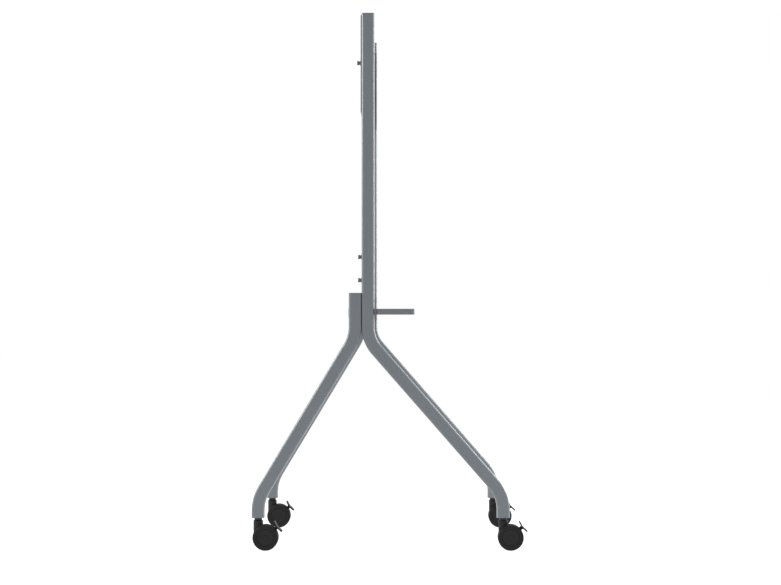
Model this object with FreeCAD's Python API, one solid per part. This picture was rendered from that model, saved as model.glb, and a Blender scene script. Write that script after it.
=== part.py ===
import FreeCAD, Part
import math
import os

# Mobile stand for a large display: two side frames of bent square tube, tied together by a rear
# plate, a cross tube and a tray, on four braked twin-wheel casters. Millimetres, +Z up, front
# (the tray's side) towards -Y. The origin is on the floor under the middle of the whole object.

# Side frames
post_spacing = 680.0
tube_size = 40.0
tube_wall = 2.0
tube_corner = 7.5
post_straight = 971.24
front_lean_deg = 41.16
front_foot_run = 421.8
front_upper_bend = 111.0
front_lower_bend = 125.0
front_foot_straight = 23.7
rear_straight = 98.77
rear_lean_deg = 31.02
rear_foot_run = 302.6
rear_upper_bend = 130.0
rear_lower_bend = 135.0
rear_foot_straight = 21.3

# End caps and leg plugs
post_cap_lip = 6.3
rear_cap_lip = 4.0
cap_spigot = 18.0
cap_wall = 2.5
cap_edge_round = 1.6
plug_base = 12.0
plug_boss_height = 22.0
plug_boss_radius = 11.0

# Plate across the rear of the posts
plate_height = 302.8
plate_thickness = 3.0
plate_side_inset = 7.5
plate_corner = 2.0
plate_screw_drop = 148.2
plate_screw_hole = 4.5
lower_screw_rise = 39.7
lower_screw_spacing = 72.4
device_hole_spacing = 100.0
device_hole_radius = 2.25
cable_window_width = 140.0
cable_window_height = 36.0
cable_window_rise = 32.0

# Display brackets on the posts' inner faces
bracket_end_margin = 34.0
bracket_drop = 31.2
bracket_thickness = 4.0
bracket_web_depth = 34.0
bracket_recess = 1.0
bracket_flange_width = 44.0
bracket_corner = 6.0
display_hole_spacing_x = 600.0
display_hole_spacing_z = 200.0
display_slot_width = 8.4
display_slot_length = 20.0
bracket_screw_inset = 24.0

# Cross tube and joint plates between the rear leg tops
joint_plate_thickness = 4.0
joint_plate_end_margin = 2.0
joint_plate_rear_margin = 4.0
joint_plate_front_margin = 10.0
joint_plate_corner = 8.0
joint_screw_inset = 9.0

# Tray
tray_rise = 38.44
tray_height = 18.0
tray_depth = 119.4
tray_wall = 2.0
tray_rim = 3.0
tray_front_corner = 10.0
tray_rear_corner = 3.0
arm_pad_thickness = 7.0
arm_bar_width = 8.0
arm_bar_height = 12.0
arm_bar_length = 102.0
arm_screw_spacing = 20.0
arm_notch_clearance = 0.3
tray_screw_setback = 14.0
tray_screw_end_inset = 16.0

# Screws, washers and inserts
big_screw_radius = 4.0
big_head_radius = 6.5
big_head_height = 6.8
big_neck_radius = 5.2
big_neck_height = 2.7
big_screw_length = 19.0
big_hex_radius = 3.4
big_hex_depth = 4.0
washer_radius = 8.0
washer_thickness = 1.6
big_insert_radius = 5.5
big_insert_bulge = 6.5
big_insert_length = 17.0
small_screw_radius = 3.0
small_head_radius = 5.25
small_head_height = 3.3
small_screw_length = 14.0
small_hex_radius = 2.2
small_hex_depth = 2.0
small_insert_radius = 4.5
small_insert_bulge = 5.5
small_insert_length = 14.0
insert_bulge_length = 4.0
arm_screw_head_radius = 5.5
arm_screw_head_height = 2.8
arm_screw_length = 18.0
tray_screw_radius = 2.0
tray_screw_head_radius = 4.0
tray_screw_head_height = 1.9
tray_screw_length = 12.0
head_chamfer = 0.8
button_round_share = 0.7
insert_clearance = 0.1
thread_clearance = 0.05
washer_clearance = 0.3
spigot_clearance = 0.1

# Casters
wheel_radius = 40.0
wheel_width = 15.0
wheel_spacing_gap = 0.6
wheel_edge_round = 4.0
wheel_disc_wall = 3.0
wheel_rim_wall = 7.0
wheel_face_ring = 11.6
wheel_hub_radius = 10.0
wheel_face_recess = 1.0
caster_trail = 23.0
neck_rise = 14.0
neck_radius = 15.0
neck_round = 2.0
neck_bottom_drop = 4.0
web_half_width = 8.8
web_inset = 5.0
web_drop = 15.0
wheel_running_gap = 1.5
collar_radius = 12.0
collar_height = 7.2
swivel_gap = 0.4
swivel_pin_radius = 5.0
swivel_pin_length = 32.0
stud_radius = 6.0
stud_length = 30.0
axle_radius = 4.0
axle_end_gap = 1.0
running_clearance = 0.05
swivel_bore_extra = 2.0

# Brake pedals
pedal_angle_deg = 43.1
pedal_pivot_inset = 10.0
pedal_hub_radius = 5.5
pedal_hub_half_width = 5.4
pedal_slot_gap = 0.6
pedal_hub_gap = 1.5
pedal_pin_radius = 2.0
pedal_stalk = 8.0
pedal_stalk_flare = 3.6
pedal_stalk_reach = 8.6
pedal_wing_thickness = 4.2
pedal_wing_width = 38.0
pedal_wing_corner = 9.0
pedal_edge_share = 0.4
upper_wing_length = 18.6
upper_wing_tilt_deg = 16.6
lower_wing_length = 22.5
lower_wing_tilt_deg = 4.2

# Cutting tools reach this far past the faces that they cut, and no edge is shorter than this
overrun = 5.0
shortest_edge = 0.001

# Heights and depths that follow. Depth is counted forward from the posts' centreline.
tube_half = tube_size / 2
post_x = post_spacing / 2
outer_x = post_x + tube_half
inner_x = post_x - tube_half
wheel_diameter = wheel_radius * 2
neck_top = wheel_diameter + neck_rise
leg_end = neck_top + swivel_gap + collar_height
front_lean = math.radians(front_lean_deg)
rear_lean = math.radians(rear_lean_deg)
rear_leg_depth = -tube_size


def bend_setback(radius, lean):
    """Length that a bend takes from each of the straight runs beside its corner."""
    return radius * math.tan(lean / 2)


def leaning_run(foot_run, lean, upper_bend, lower_bend):
    """Straight length of a leaning leg between its two bends."""
    return foot_run / math.sin(lean) - bend_setback(upper_bend, lean) - bend_setback(lower_bend, lean)


def bend_top(foot_straight, foot_run, lean, upper_bend, lower_bend):
    """Height at which a tube's upper bend starts."""
    lower_corner = leg_end + foot_straight + bend_setback(lower_bend, lean)
    return lower_corner + foot_run / math.tan(lean) + bend_setback(upper_bend, lean)


front_bend_top = bend_top(front_foot_straight, front_foot_run, front_lean, front_upper_bend, front_lower_bend)
rear_bend_top = bend_top(rear_foot_straight, rear_foot_run, rear_lean, rear_upper_bend, rear_lower_bend)
post_tube_top = front_bend_top + post_straight
post_top = post_tube_top + post_cap_lip
rear_tube_top = rear_bend_top + rear_straight
rear_leg_top = rear_tube_top + rear_cap_lip
contact_bottom = max(front_bend_top, rear_bend_top)
contact_top = rear_tube_top - cap_spigot
joint_z = (contact_bottom + contact_top) / 2
joint_plate_height = contact_top - contact_bottom - joint_plate_end_margin * 2
joint_screw_spacing = joint_plate_height - joint_screw_inset * 2
rear_foot_depth = rear_leg_depth - rear_foot_run
plate_top = post_tube_top
plate_middle = plate_top - plate_height / 2
plate_screw_z = plate_top - plate_screw_drop
lower_screw_z = [rear_leg_top + lower_screw_rise, rear_leg_top + lower_screw_rise + lower_screw_spacing]
bracket_height = display_hole_spacing_z + bracket_end_margin * 2
bracket_screw_spacing = bracket_height - bracket_screw_inset * 2
bracket_top = post_tube_top - bracket_drop
bracket_middle = bracket_top - bracket_height / 2
bracket_front = tube_half - bracket_recess
tray_bottom = front_bend_top + tray_rise
tray_top = tray_bottom + tray_height
tray_rear = tube_half + arm_pad_thickness
tray_sheet_top = tray_top - tray_rim
tray_sheet_bottom = tray_sheet_top - tray_wall
tray_screw_spacing = arm_bar_length - tray_screw_setback - tray_screw_end_inset

side_signs = {"left": -1, "right": 1}
corners = {
    "front_left": (-1, front_foot_run),
    "front_right": (1, front_foot_run),
    "rear_left": (-1, rear_foot_depth),
    "rear_right": (1, rear_foot_depth),
}
across = FreeCAD.Vector(1, 0, 0)
backward = FreeCAD.Vector(0, 1, 0)
forward = FreeCAD.Vector(0, -1, 0)
up = FreeCAD.Vector(0, 0, 1)
down = FreeCAD.Vector(0, 0, -1)


def spot(x, depth, z):
    """Point given by its place across, its depth forward of the posts' centreline and its height."""
    return FreeCAD.Vector(x, -depth, z)


def outline(points, radii):
    """Closed wire through the corner points, each corner rounded by its own radius."""
    arcs = []
    for index, corner in enumerate(points):
        to_last = (points[index - 1] - corner).normalize()
        to_next = (points[(index + 1) % len(points)] - corner).normalize()
        radius = radii[index]
        half_angle = to_last.getAngle(to_next) / 2
        setback = radius / math.tan(half_angle)
        inward = (to_last + to_next).normalize()
        middle = corner + inward * (radius / math.sin(half_angle) - radius)
        arcs.append((corner + to_last * setback, middle, corner + to_next * setback, radius))
    edges = []
    for index, (start, middle, end, radius) in enumerate(arcs):
        if radius > 0:
            edges.append(Part.Arc(start, middle, end).toShape())
        next_start = arcs[(index + 1) % len(arcs)][0]
        if (next_start - end).Length > shortest_edge:
            edges.append(Part.makeLine(end, next_start))
    return Part.Wire(edges)


def slab(points, radii, reach):
    """Flat piece with a rounded outline, given its thickness by the vector reach."""
    return Part.Face(outline(points, radii)).extrude(reach)


def block(low, high):
    """Box between two opposite corners."""
    first = FreeCAD.Vector(*[min(pair) for pair in zip(low, high)])
    size = [abs(b - a) for a, b in zip(low, high)]
    return Part.makeBox(*size, first)


def rod(start, direction, radius, length):
    """Round bar from a start point along a direction."""
    return Part.makeCylinder(radius, length, start, direction)


def square_points(width, depth, z):
    """Corners of a rectangle about the Z axis."""
    half_width = width / 2
    half_depth = depth / 2
    signs = [(-1, -1), (1, -1), (1, 1), (-1, 1)]
    return [FreeCAD.Vector(sx * half_width, sy * half_depth, z) for sx, sy in signs]


def rounded_prism(width, depth, corner, low, high):
    """Upright prism of a rounded rectangle about the Z axis."""
    return slab(square_points(width, depth, low), [corner] * 4, up * (high - low))


def round_edges(shape, radius, wanted):
    """Fillet the edges that the test wanted picks."""
    return shape.makeFillet(radius, [edge for edge in shape.Edges if wanted(edge)])


def at_height(z):
    """Test for edges that lie flat at one height."""
    return lambda edge: abs(edge.BoundBox.ZMin - z) + abs(edge.BoundBox.ZMax - z) < shortest_edge


def bent_tube(x, depth, top, runs, bends):
    """Square tube that starts at its top end and goes down by straight runs with bends between."""
    outer = outline(square_points(tube_size, tube_size, 0), [tube_corner] * 4)
    inner_size = tube_size - tube_wall * 2
    inner = outline(square_points(inner_size, inner_size, 0), [tube_corner - tube_wall] * 4)
    section = Part.Face(outer).cut(Part.Face(inner)).Faces[0]
    place = FreeCAD.Placement(spot(x, depth, top), FreeCAD.Rotation())
    pieces = []
    for index, run in enumerate(runs):
        straight = section.extrude(down * run)
        straight.Placement = place
        pieces.append(straight)
        place = place.multiply(FreeCAD.Placement(down * run, FreeCAD.Rotation()))
        if index < len(bends):
            radius, turn_deg = bends[index]
            side = math.copysign(1, turn_deg)
            centre = backward * (radius * side)
            arc = section.revolve(centre, across * side, abs(turn_deg))
            arc.Placement = place
            pieces.append(arc)
            turn = FreeCAD.Placement(FreeCAD.Vector(), FreeCAD.Rotation(across, turn_deg), centre)
            place = place.multiply(turn)
    return pieces[0].fuse(pieces[1:]).removeSplitter()


def wall_hole(shape, point, inward, radius):
    """Cut a round hole through the wall that the point lies on."""
    start = point - inward * overrun
    return shape.cut(rod(start, inward, radius, overrun + tube_wall + overrun))


def insert(point, inward, radius, bulge, length, thread):
    """Threaded insert set flush in a tube wall, its far end swollen behind the wall."""
    body = rod(point, inward, radius, length)
    swelling = rod(point + inward * tube_wall, inward, bulge, insert_bulge_length)
    bore = rod(point - inward * overrun, inward, thread + thread_clearance, length + overrun * 2)
    return body.fuse(swelling).cut(bore).removeSplitter()


def hex_socket(point, direction, radius, depth):
    """Six-sided socket that points along the direction from the head's top."""
    turned = FreeCAD.Rotation(up, direction)
    ring = [FreeCAD.Vector(radius * math.cos(a), radius * math.sin(a), 0)
            for a in [math.tau / 6 * step for step in range(6)]]
    points = [point + turned.multVec(corner) for corner in ring]
    return slab(points, [0] * 6, direction * depth)


def chamfered_head(point, outward, radius, height, chamfer):
    """Round screw head with a chamfered rim."""
    straight = rod(point, outward, radius, height - chamfer)
    rim = Part.makeCone(radius, radius - chamfer, chamfer, point + outward * (height - chamfer), outward)
    return straight.fuse(rim).removeSplitter()


def cap_screw(seat, inward):
    """Socket head screw whose head stands clear of the seat on a narrower neck."""
    outward = inward * -1
    head_seat = seat + outward * big_neck_height
    head = chamfered_head(head_seat, outward, big_head_radius, big_head_height, head_chamfer)
    neck = rod(seat, outward, big_neck_radius, big_neck_height)
    shank = rod(seat, inward, big_screw_radius, big_screw_length)
    socket = hex_socket(head_seat + outward * big_head_height, inward, big_hex_radius, big_hex_depth)
    return head.fuse([neck, shank]).cut(socket)


def button_screw(seat, inward):
    """Button head screw whose low domed head stands on the seat."""
    outward = inward * -1
    top = seat + outward * small_head_height
    dome = rod(seat, outward, small_head_radius, small_head_height)
    dome = round_edges(dome, small_head_height * button_round_share,
                       lambda edge: edge.CenterOfMass.distanceToPoint(top) < shortest_edge)
    shank = rod(seat, inward, small_screw_radius, small_screw_length)
    socket = hex_socket(top, inward, small_hex_radius, small_hex_depth)
    return dome.fuse(shank).cut(socket)


def flat_screw(top, inward, radius, head_radius, head_height, length):
    """Countersunk screw whose head lies flush at the top point."""
    head = Part.makeCone(head_radius, radius, head_height, top, inward)
    shank = rod(top + inward * head_height, inward, radius, length - head_height)
    return head.fuse(shank).removeSplitter()


def countersink(top, inward, radius, head_radius, head_height, depth):
    """Space for a countersunk screw with a little room round its shank."""
    sink = Part.makeCone(head_radius, radius, head_height, top, inward)
    bore = rod(top, inward, radius + thread_clearance, depth)
    return sink.fuse(bore)


def rear_screw_points(side):
    """Where a post's three rear screws enter its rear face."""
    return [spot(side * post_x, -tube_half, z) for z in [plate_screw_z] + lower_screw_z]


def joint_screw_points(side, depth):
    """Where a joint plate's screws enter the inner face of the tube at that depth."""
    rise = joint_screw_spacing / 2
    return [spot(side * inner_x, depth, joint_z + sign * rise) for sign in (-1, 1)]


def bracket_screw_points(side):
    """Where a display bracket's screws enter the post's inner face."""
    rise = bracket_screw_spacing / 2
    return [spot(side * inner_x, 0, bracket_middle + sign * rise) for sign in (-1, 1)]


def arm_screw_points(side):
    """Where a tray arm's screws enter the post's front face."""
    reach = arm_screw_spacing / 2
    middle = (tray_bottom + tray_top) / 2
    return [spot(side * post_x + sign * reach, tube_half, middle) for sign in (-1, 1)]


def tray_screw_points(side):
    """Where the tray's screws lie on its sheet."""
    first = tray_rear + tray_screw_setback
    return [spot(side * post_x, depth, tray_sheet_top) for depth in (first, first + tray_screw_spacing)]


def post(side):
    """Upright post bent forward into the front leg, with the holes for its inserts."""
    runs = [post_straight, leaning_run(front_foot_run, front_lean, front_upper_bend, front_lower_bend),
            front_foot_straight]
    bends = [(front_upper_bend, -front_lean_deg), (front_lower_bend, front_lean_deg)]
    tube = bent_tube(side * post_x, 0, post_tube_top, runs, bends)
    for point in rear_screw_points(side):
        tube = wall_hole(tube, point, forward, big_insert_radius + insert_clearance)
    for point in joint_screw_points(side, 0) + bracket_screw_points(side):
        tube = wall_hole(tube, point, across * side, small_insert_radius + insert_clearance)
    for point in arm_screw_points(side):
        tube = wall_hole(tube, point, backward, small_insert_radius + insert_clearance)
    return tube


def rear_leg(side):
    """Rear leg that stands against the post's rear face and bends backward."""
    runs = [rear_straight, leaning_run(rear_foot_run, rear_lean, rear_upper_bend, rear_lower_bend),
            rear_foot_straight]
    bends = [(rear_upper_bend, rear_lean_deg), (rear_lower_bend, -rear_lean_deg)]
    tube = bent_tube(side * post_x, rear_leg_depth, rear_tube_top, runs, bends)
    for point in joint_screw_points(side, rear_leg_depth):
        tube = wall_hole(tube, point, across * side, small_insert_radius + insert_clearance)
    return tube


def end_cap(x, depth, tube_end, lip):
    """Moulded cap with a lip as wide as the tube and a hollow spigot inside it."""
    inner_size = tube_size - tube_wall * 2 - spigot_clearance * 2
    inner_corner = tube_corner - tube_wall
    hollow_size = inner_size - cap_wall * 2
    top = rounded_prism(tube_size, tube_size, tube_corner, 0, lip)
    top = round_edges(top, cap_edge_round, at_height(lip))
    spigot = rounded_prism(inner_size, inner_size, inner_corner, -cap_spigot, 0)
    hollow = rounded_prism(hollow_size, hollow_size, inner_corner / 2, -cap_spigot - overrun, 0)
    cap = top.fuse(spigot.cut(hollow))
    cap.translate(spot(x, depth, tube_end))
    return cap


def leg_plug(x, depth):
    """Plug in a leg's foot, with a boss and the threaded hole for the caster's stud."""
    inner_size = tube_size - tube_wall * 2 - spigot_clearance * 2
    base = rounded_prism(inner_size, inner_size, tube_corner - tube_wall, 0, plug_base)
    boss = rod(FreeCAD.Vector(), up, plug_boss_radius, plug_base + plug_boss_height)
    bore = rod(down * overrun, up, stud_radius + thread_clearance, plug_base + plug_boss_height + overrun * 2)
    plug = base.fuse(boss).cut(bore)
    plug.translate(spot(x, depth, leg_end))
    return plug


def back_plate():
    """Plate across the rear of both posts, with a device hole pattern and a cable window."""
    rear = -tube_half - plate_thickness
    low = plate_top - plate_height
    side_x = outer_x - plate_side_inset
    points = [spot(-side_x, rear, low), spot(side_x, rear, low),
              spot(side_x, rear, plate_top), spot(-side_x, rear, plate_top)]
    plate = slab(points, [plate_corner] * 4, forward * plate_thickness)
    start = rear - overrun
    through = plate_thickness + overrun * 2
    for side in side_signs.values():
        hole = rod(spot(side * post_x, start, plate_screw_z), forward, plate_screw_hole, through)
        plate = plate.cut(hole)
    half = device_hole_spacing / 2
    for sign_x in (-1, 1):
        for sign_z in (-1, 1):
            centre = spot(sign_x * half, start, plate_middle + sign_z * half)
            plate = plate.cut(rod(centre, forward, device_hole_radius, through))
    window_low = low + cable_window_rise
    window_high = window_low + cable_window_height
    reach = cable_window_width / 2
    window = [spot(-reach, start, window_low), spot(reach, start, window_low),
              spot(reach, start, window_high), spot(-reach, start, window_high)]
    return plate.cut(slab(window, [cable_window_height / 2] * 4, forward * through))


def display_bracket(side):
    """Angle bracket on a post's inner face, its flange slotted for the display's screws."""
    low = bracket_top - bracket_height
    web_rear = bracket_front - bracket_web_depth
    face_x = side * inner_x
    web_x = face_x - side * bracket_thickness
    flange_x = face_x - side * bracket_flange_width
    web = [spot(face_x, web_rear, low), spot(face_x, bracket_front, low),
           spot(face_x, bracket_front, bracket_top), spot(face_x, web_rear, bracket_top)]
    bracket = slab(web, [bracket_corner, 0, 0, bracket_corner], across * (web_x - face_x))
    flange_rear = bracket_front - bracket_thickness
    flange = [spot(face_x, flange_rear, low), spot(flange_x, flange_rear, low),
              spot(flange_x, flange_rear, bracket_top), spot(face_x, flange_rear, bracket_top)]
    bracket = bracket.fuse(slab(flange, [0, bracket_corner, bracket_corner, 0], forward * bracket_thickness))
    bracket = bracket.removeSplitter()
    slot_reach = display_slot_length / 2
    slot_rise = display_slot_width / 2
    for sign in (-1, 1):
        x = side * display_hole_spacing_x / 2
        z = bracket_middle + sign * display_hole_spacing_z / 2
        start = flange_rear - overrun
        slot = [spot(x - slot_reach, start, z - slot_rise), spot(x + slot_reach, start, z - slot_rise),
                spot(x + slot_reach, start, z + slot_rise), spot(x - slot_reach, start, z + slot_rise)]
        cutter = slab(slot, [slot_rise] * 4, forward * (bracket_thickness + overrun * 2))
        bracket = bracket.cut(cutter)
    for point in bracket_screw_points(side):
        start = point - across * (side * (bracket_thickness + overrun))
        hole_radius = small_screw_radius + insert_clearance
        bracket = bracket.cut(rod(start, across * side, hole_radius, bracket_thickness + overrun * 2))
    return bracket


def joint_plate(side):
    """Plate on the inner faces of a post and its rear leg."""
    rear = rear_leg_depth - tube_half + joint_plate_rear_margin
    front = tube_half - joint_plate_front_margin
    low = joint_z - joint_plate_height / 2
    high = joint_z + joint_plate_height / 2
    face_x = side * inner_x
    points = [spot(face_x, rear, low), spot(face_x, front, low),
              spot(face_x, front, high), spot(face_x, rear, high)]
    plate = slab(points, [joint_plate_corner] * 4, across * (-side * joint_plate_thickness))
    for depth in (0, rear_leg_depth):
        for point in joint_screw_points(side, depth):
            start = point - across * (side * (joint_plate_thickness + overrun))
            hole_radius = small_screw_radius + insert_clearance
            plate = plate.cut(rod(start, across * side, hole_radius, joint_plate_thickness + overrun * 2))
    return plate


def cross_tube():
    """Square tube between the joint plates, level with the rear leg tops."""
    reach = inner_x - joint_plate_thickness
    inner_size = tube_size - tube_wall * 2
    outer = rounded_prism(tube_size, tube_size, tube_corner, -reach, reach)
    inner = rounded_prism(inner_size, inner_size, tube_corner - tube_wall, -reach - overrun, reach + overrun)
    tube = outer.cut(inner)
    tube.Placement = FreeCAD.Placement(spot(0, rear_leg_depth, joint_z), FreeCAD.Rotation(up, across))
    return tube


def tray_outline(inset, z):
    """Corner points and radii of the tray's outline, drawn in from its outer edge."""
    half = outer_x - inset
    rear = tray_rear + inset
    front = tray_rear + tray_depth - inset
    points = [spot(-half, rear, z), spot(half, rear, z), spot(half, front, z), spot(-half, front, z)]
    front_radius = tray_front_corner - inset
    rear_radius = tray_rear_corner - inset
    return points, [rear_radius, rear_radius, front_radius, front_radius]


def tray():
    """Sheet-metal tray: a sheet sunk a little below the rim of its folded wall."""
    full = slab(*tray_outline(0, tray_bottom), up * tray_height)
    above = slab(*tray_outline(tray_wall, tray_sheet_top), up * (tray_rim + overrun))
    below = slab(*tray_outline(tray_wall, tray_bottom - overrun), up * (tray_sheet_bottom - tray_bottom + overrun))
    shell = full.cut(above).cut(below)
    notch_reach = arm_bar_width / 2 + arm_notch_clearance
    for side in side_signs.values():
        x = side * post_x
        notch = block(spot(x - notch_reach, tray_rear - overrun, tray_bottom - overrun),
                      spot(x + notch_reach, tray_rear + tray_wall + overrun, tray_sheet_bottom))
        shell = shell.cut(notch)
        for point in tray_screw_points(side):
            shell = shell.cut(countersink(point, down, tray_screw_radius, tray_screw_head_radius,
                                          tray_screw_head_height, tray_wall + overrun))
    return shell


def tray_arm(side):
    """Arm under the tray: a pad on the post's front face and a bar beneath the sheet."""
    x = side * post_x
    pad = [spot(x - tube_half, tube_half, tray_bottom), spot(x + tube_half, tube_half, tray_bottom),
           spot(x + tube_half, tube_half, tray_top), spot(x - tube_half, tube_half, tray_top)]
    arm = slab(pad, [tray_rear_corner] * 4, forward * arm_pad_thickness)
    half_bar = arm_bar_width / 2
    bar = block(spot(x - half_bar, tray_rear - arm_pad_thickness / 2, tray_sheet_bottom - arm_bar_height),
                spot(x + half_bar, tray_rear + arm_bar_length, tray_sheet_bottom))
    arm = arm.fuse(bar).removeSplitter()
    for point in arm_screw_points(side):
        head = point + forward * arm_pad_thickness
        arm = arm.cut(countersink(head, backward, small_screw_radius, arm_screw_head_radius,
                                  arm_screw_head_height, arm_pad_thickness + overrun))
    for point in tray_screw_points(side):
        bore = rod(point, down, tray_screw_radius + thread_clearance, tray_screw_length + tray_screw_radius)
        arm = arm.cut(bore)
    return arm


def local_point(forward_of_wheel, above_wheel, x=0):
    """Point in a caster's own frame, given from the wheels' centre."""
    return FreeCAD.Vector(x, -caster_trail - forward_of_wheel, wheel_radius + above_wheel)


pedal_angle = math.radians(pedal_angle_deg)
radial = FreeCAD.Vector(0, -math.cos(pedal_angle), math.sin(pedal_angle))
tangent = FreeCAD.Vector(0, math.sin(pedal_angle), math.cos(pedal_angle))
wheel_centre = local_point(0, 0)
pedal_pivot = wheel_centre + radial * (wheel_radius - pedal_pivot_inset)
pedal_junction = wheel_centre + radial * (wheel_radius + pedal_stalk_reach)
pedal_slot_half = pedal_hub_half_width + pedal_slot_gap
wheel_inner_x = web_half_width + wheel_spacing_gap
wheel_outer_x = wheel_inner_x + wheel_width
axle_reach = wheel_outer_x - wheel_disc_wall - axle_end_gap


def caster_stem():
    """Stem: threaded stud in the leg, round collar, and the pin that the caster swivels on."""
    collar_bottom = neck_top + swivel_gap
    collar = rod(up * collar_bottom, up, collar_radius, collar_height)
    stud = rod(up * leg_end, up, stud_radius, stud_length)
    pin = rod(up * collar_bottom, down, swivel_pin_radius, swivel_pin_length)
    return collar.fuse([stud, pin]).removeSplitter()


def caster_body():
    """Moulded body: round neck over a web that holds the axle and the pedal's pin."""
    neck_bottom = wheel_radius - neck_bottom_drop
    neck = rod(up * neck_bottom, up, neck_radius, neck_top - neck_bottom)
    neck = round_edges(neck, neck_round, at_height(neck_top))
    web_radius = wheel_radius - web_inset
    web = rod(local_point(0, 0, -web_half_width), across, web_radius, web_half_width * 2)
    under = block(local_point(-wheel_radius, -wheel_radius, -wheel_outer_x),
                  local_point(wheel_radius, -web_drop, wheel_outer_x))
    body = neck.fuse(web.cut(under)).removeSplitter()
    for side in side_signs.values():
        start = local_point(0, 0, side * web_half_width)
        clearing = rod(start, across * side, wheel_radius + wheel_running_gap, wheel_width + overrun)
        body = body.cut(clearing)
    bore_depth = swivel_pin_length - swivel_gap + swivel_bore_extra
    swivel_bore = rod(up * (neck_top - bore_depth), up, swivel_pin_radius + running_clearance, bore_depth + overrun)
    axle_bore = rod(local_point(0, 0, -wheel_outer_x), across, axle_radius, wheel_outer_x * 2)
    slot_radius = pedal_hub_radius + pedal_hub_gap
    slot_start = pedal_pivot - across * pedal_slot_half
    slot = rod(slot_start, across, slot_radius, pedal_slot_half * 2)
    mouth = [slot_start + tangent * slot_radius, slot_start - tangent * slot_radius,
             slot_start - tangent * slot_radius + radial * pedal_pivot_inset,
             slot_start + tangent * slot_radius + radial * pedal_pivot_inset]
    slot = slot.fuse(slab(mouth, [0] * 4, across * (pedal_slot_half * 2)))
    pin_bore = rod(pedal_pivot - across * wheel_outer_x, across, pedal_pin_radius, wheel_outer_x * 2)
    return body.cut(swivel_bore).cut(axle_bore).cut(slot).cut(pin_bore)


def caster_wheel(side):
    """Wheel, closed on its outer side and hollow on the side that faces the body."""
    face_x = wheel_outer_x - wheel_face_recess
    disc_x = wheel_outer_x - wheel_disc_wall
    bore = axle_radius + running_clearance
    rim = wheel_radius - wheel_rim_wall
    face_edge = wheel_radius - wheel_face_ring
    profile = [(wheel_inner_x, bore), (wheel_inner_x, wheel_hub_radius), (disc_x, wheel_hub_radius),
               (disc_x, rim), (wheel_inner_x, rim), (wheel_inner_x, wheel_radius),
               (wheel_outer_x, wheel_radius), (wheel_outer_x, face_edge), (face_x, face_edge),
               (face_x, 0), (disc_x, 0), (disc_x, bore)]
    rounds = [0, 0, 0, 0, 0, wheel_edge_round, wheel_edge_round, 0, 0, 0, 0, 0]
    points = [FreeCAD.Vector(x, 0, radius) for x, radius in profile]
    wheel = Part.Face(outline(points, rounds)).revolve(FreeCAD.Vector(), across, 360)
    if side < 0:
        wheel = wheel.mirror(FreeCAD.Vector(), across)
    wheel.translate(wheel_centre)
    return wheel


def caster_axle():
    """Axle held in the body's web, running in both wheels."""
    return rod(local_point(0, 0, -axle_reach), across, axle_radius, axle_reach * 2)


def pedal_pin():
    """Pin that the brake pedal tips on."""
    return rod(pedal_pivot - across * web_half_width, across, pedal_pin_radius, web_half_width * 2)


def brake_pedal():
    """Two-winged pedal on a short stalk, with a hub on its pin."""
    hub = rod(pedal_pivot - across * pedal_hub_half_width, across, pedal_hub_radius, pedal_hub_half_width * 2)
    half_stalk = pedal_stalk / 2
    foot = pedal_pivot - across * pedal_hub_half_width
    reach = radial * (pedal_pivot_inset + pedal_stalk_reach)
    stalk = slab([foot - tangent * half_stalk, foot + tangent * half_stalk,
                  foot + tangent * half_stalk + reach,
                  foot - tangent * (half_stalk + pedal_stalk_flare) + reach],
                 [0] * 4, across * (pedal_hub_half_width * 2))
    upper_tilt = math.radians(upper_wing_tilt_deg)
    lower_tilt = math.radians(lower_wing_tilt_deg)
    upper = tangent * math.cos(upper_tilt) + radial * math.sin(upper_tilt)
    lower = tangent * -math.cos(lower_tilt) + radial * math.sin(lower_tilt)
    start = pedal_junction - across * (pedal_wing_width / 2)
    half = radial * (pedal_wing_thickness / 2)
    points = [start + upper * upper_wing_length - half, start - half, start + lower * lower_wing_length - half,
              start + lower * lower_wing_length + half, start + half, start + upper * upper_wing_length + half]
    tip = pedal_wing_thickness * pedal_edge_share
    wings = slab(points, [tip, 0, tip, tip, 0, tip], across * pedal_wing_width)
    upper_reach = upper_wing_length * math.cos(upper_tilt)
    lower_reach = lower_wing_length * math.cos(lower_tilt)
    base = start - radial * wheel_radius
    plan = [base + tangent * upper_reach, base - tangent * lower_reach,
            base - tangent * lower_reach + across * pedal_wing_width,
            base + tangent * upper_reach + across * pedal_wing_width]
    wings = wings.common(slab(plan, [pedal_wing_corner] * 4, radial * wheel_diameter))
    bore = rod(pedal_pivot - across * wheel_outer_x, across, pedal_pin_radius + running_clearance,
               wheel_outer_x * 2)
    return wings.fuse([stalk, hub]).removeSplitter().cut(bore)


def rear_seat(point):
    """Where a rear screw's washer lies: on the plate for the top screw, else on the post."""
    on_plate = abs(point.z - plate_screw_z) < washer_thickness
    return point + backward * plate_thickness if on_plate else point


def rear_screws():
    """The six screws at the rear of the posts."""
    points = [rear_seat(point) for side in side_signs.values() for point in rear_screw_points(side)]
    return Part.Compound([cap_screw(point + backward * washer_thickness, forward) for point in points])


def rear_washers():
    """A washer under each rear screw's head."""
    points = [rear_seat(point) for side in side_signs.values() for point in rear_screw_points(side)]
    washers = []
    for point in points:
        disc = rod(point, backward, washer_radius, washer_thickness)
        hole = rod(point + forward * overrun, backward, big_screw_radius + washer_clearance, overrun * 3)
        washers.append(disc.cut(hole))
    return Part.Compound(washers)


def big_insert(point, inward):
    """Insert for a rear screw."""
    return insert(point, inward, big_insert_radius, big_insert_bulge, big_insert_length, big_screw_radius)


def small_insert(point, inward):
    """Insert for a bracket or joint plate screw."""
    return insert(point, inward, small_insert_radius, small_insert_bulge, small_insert_length,
                  small_screw_radius)


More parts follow.
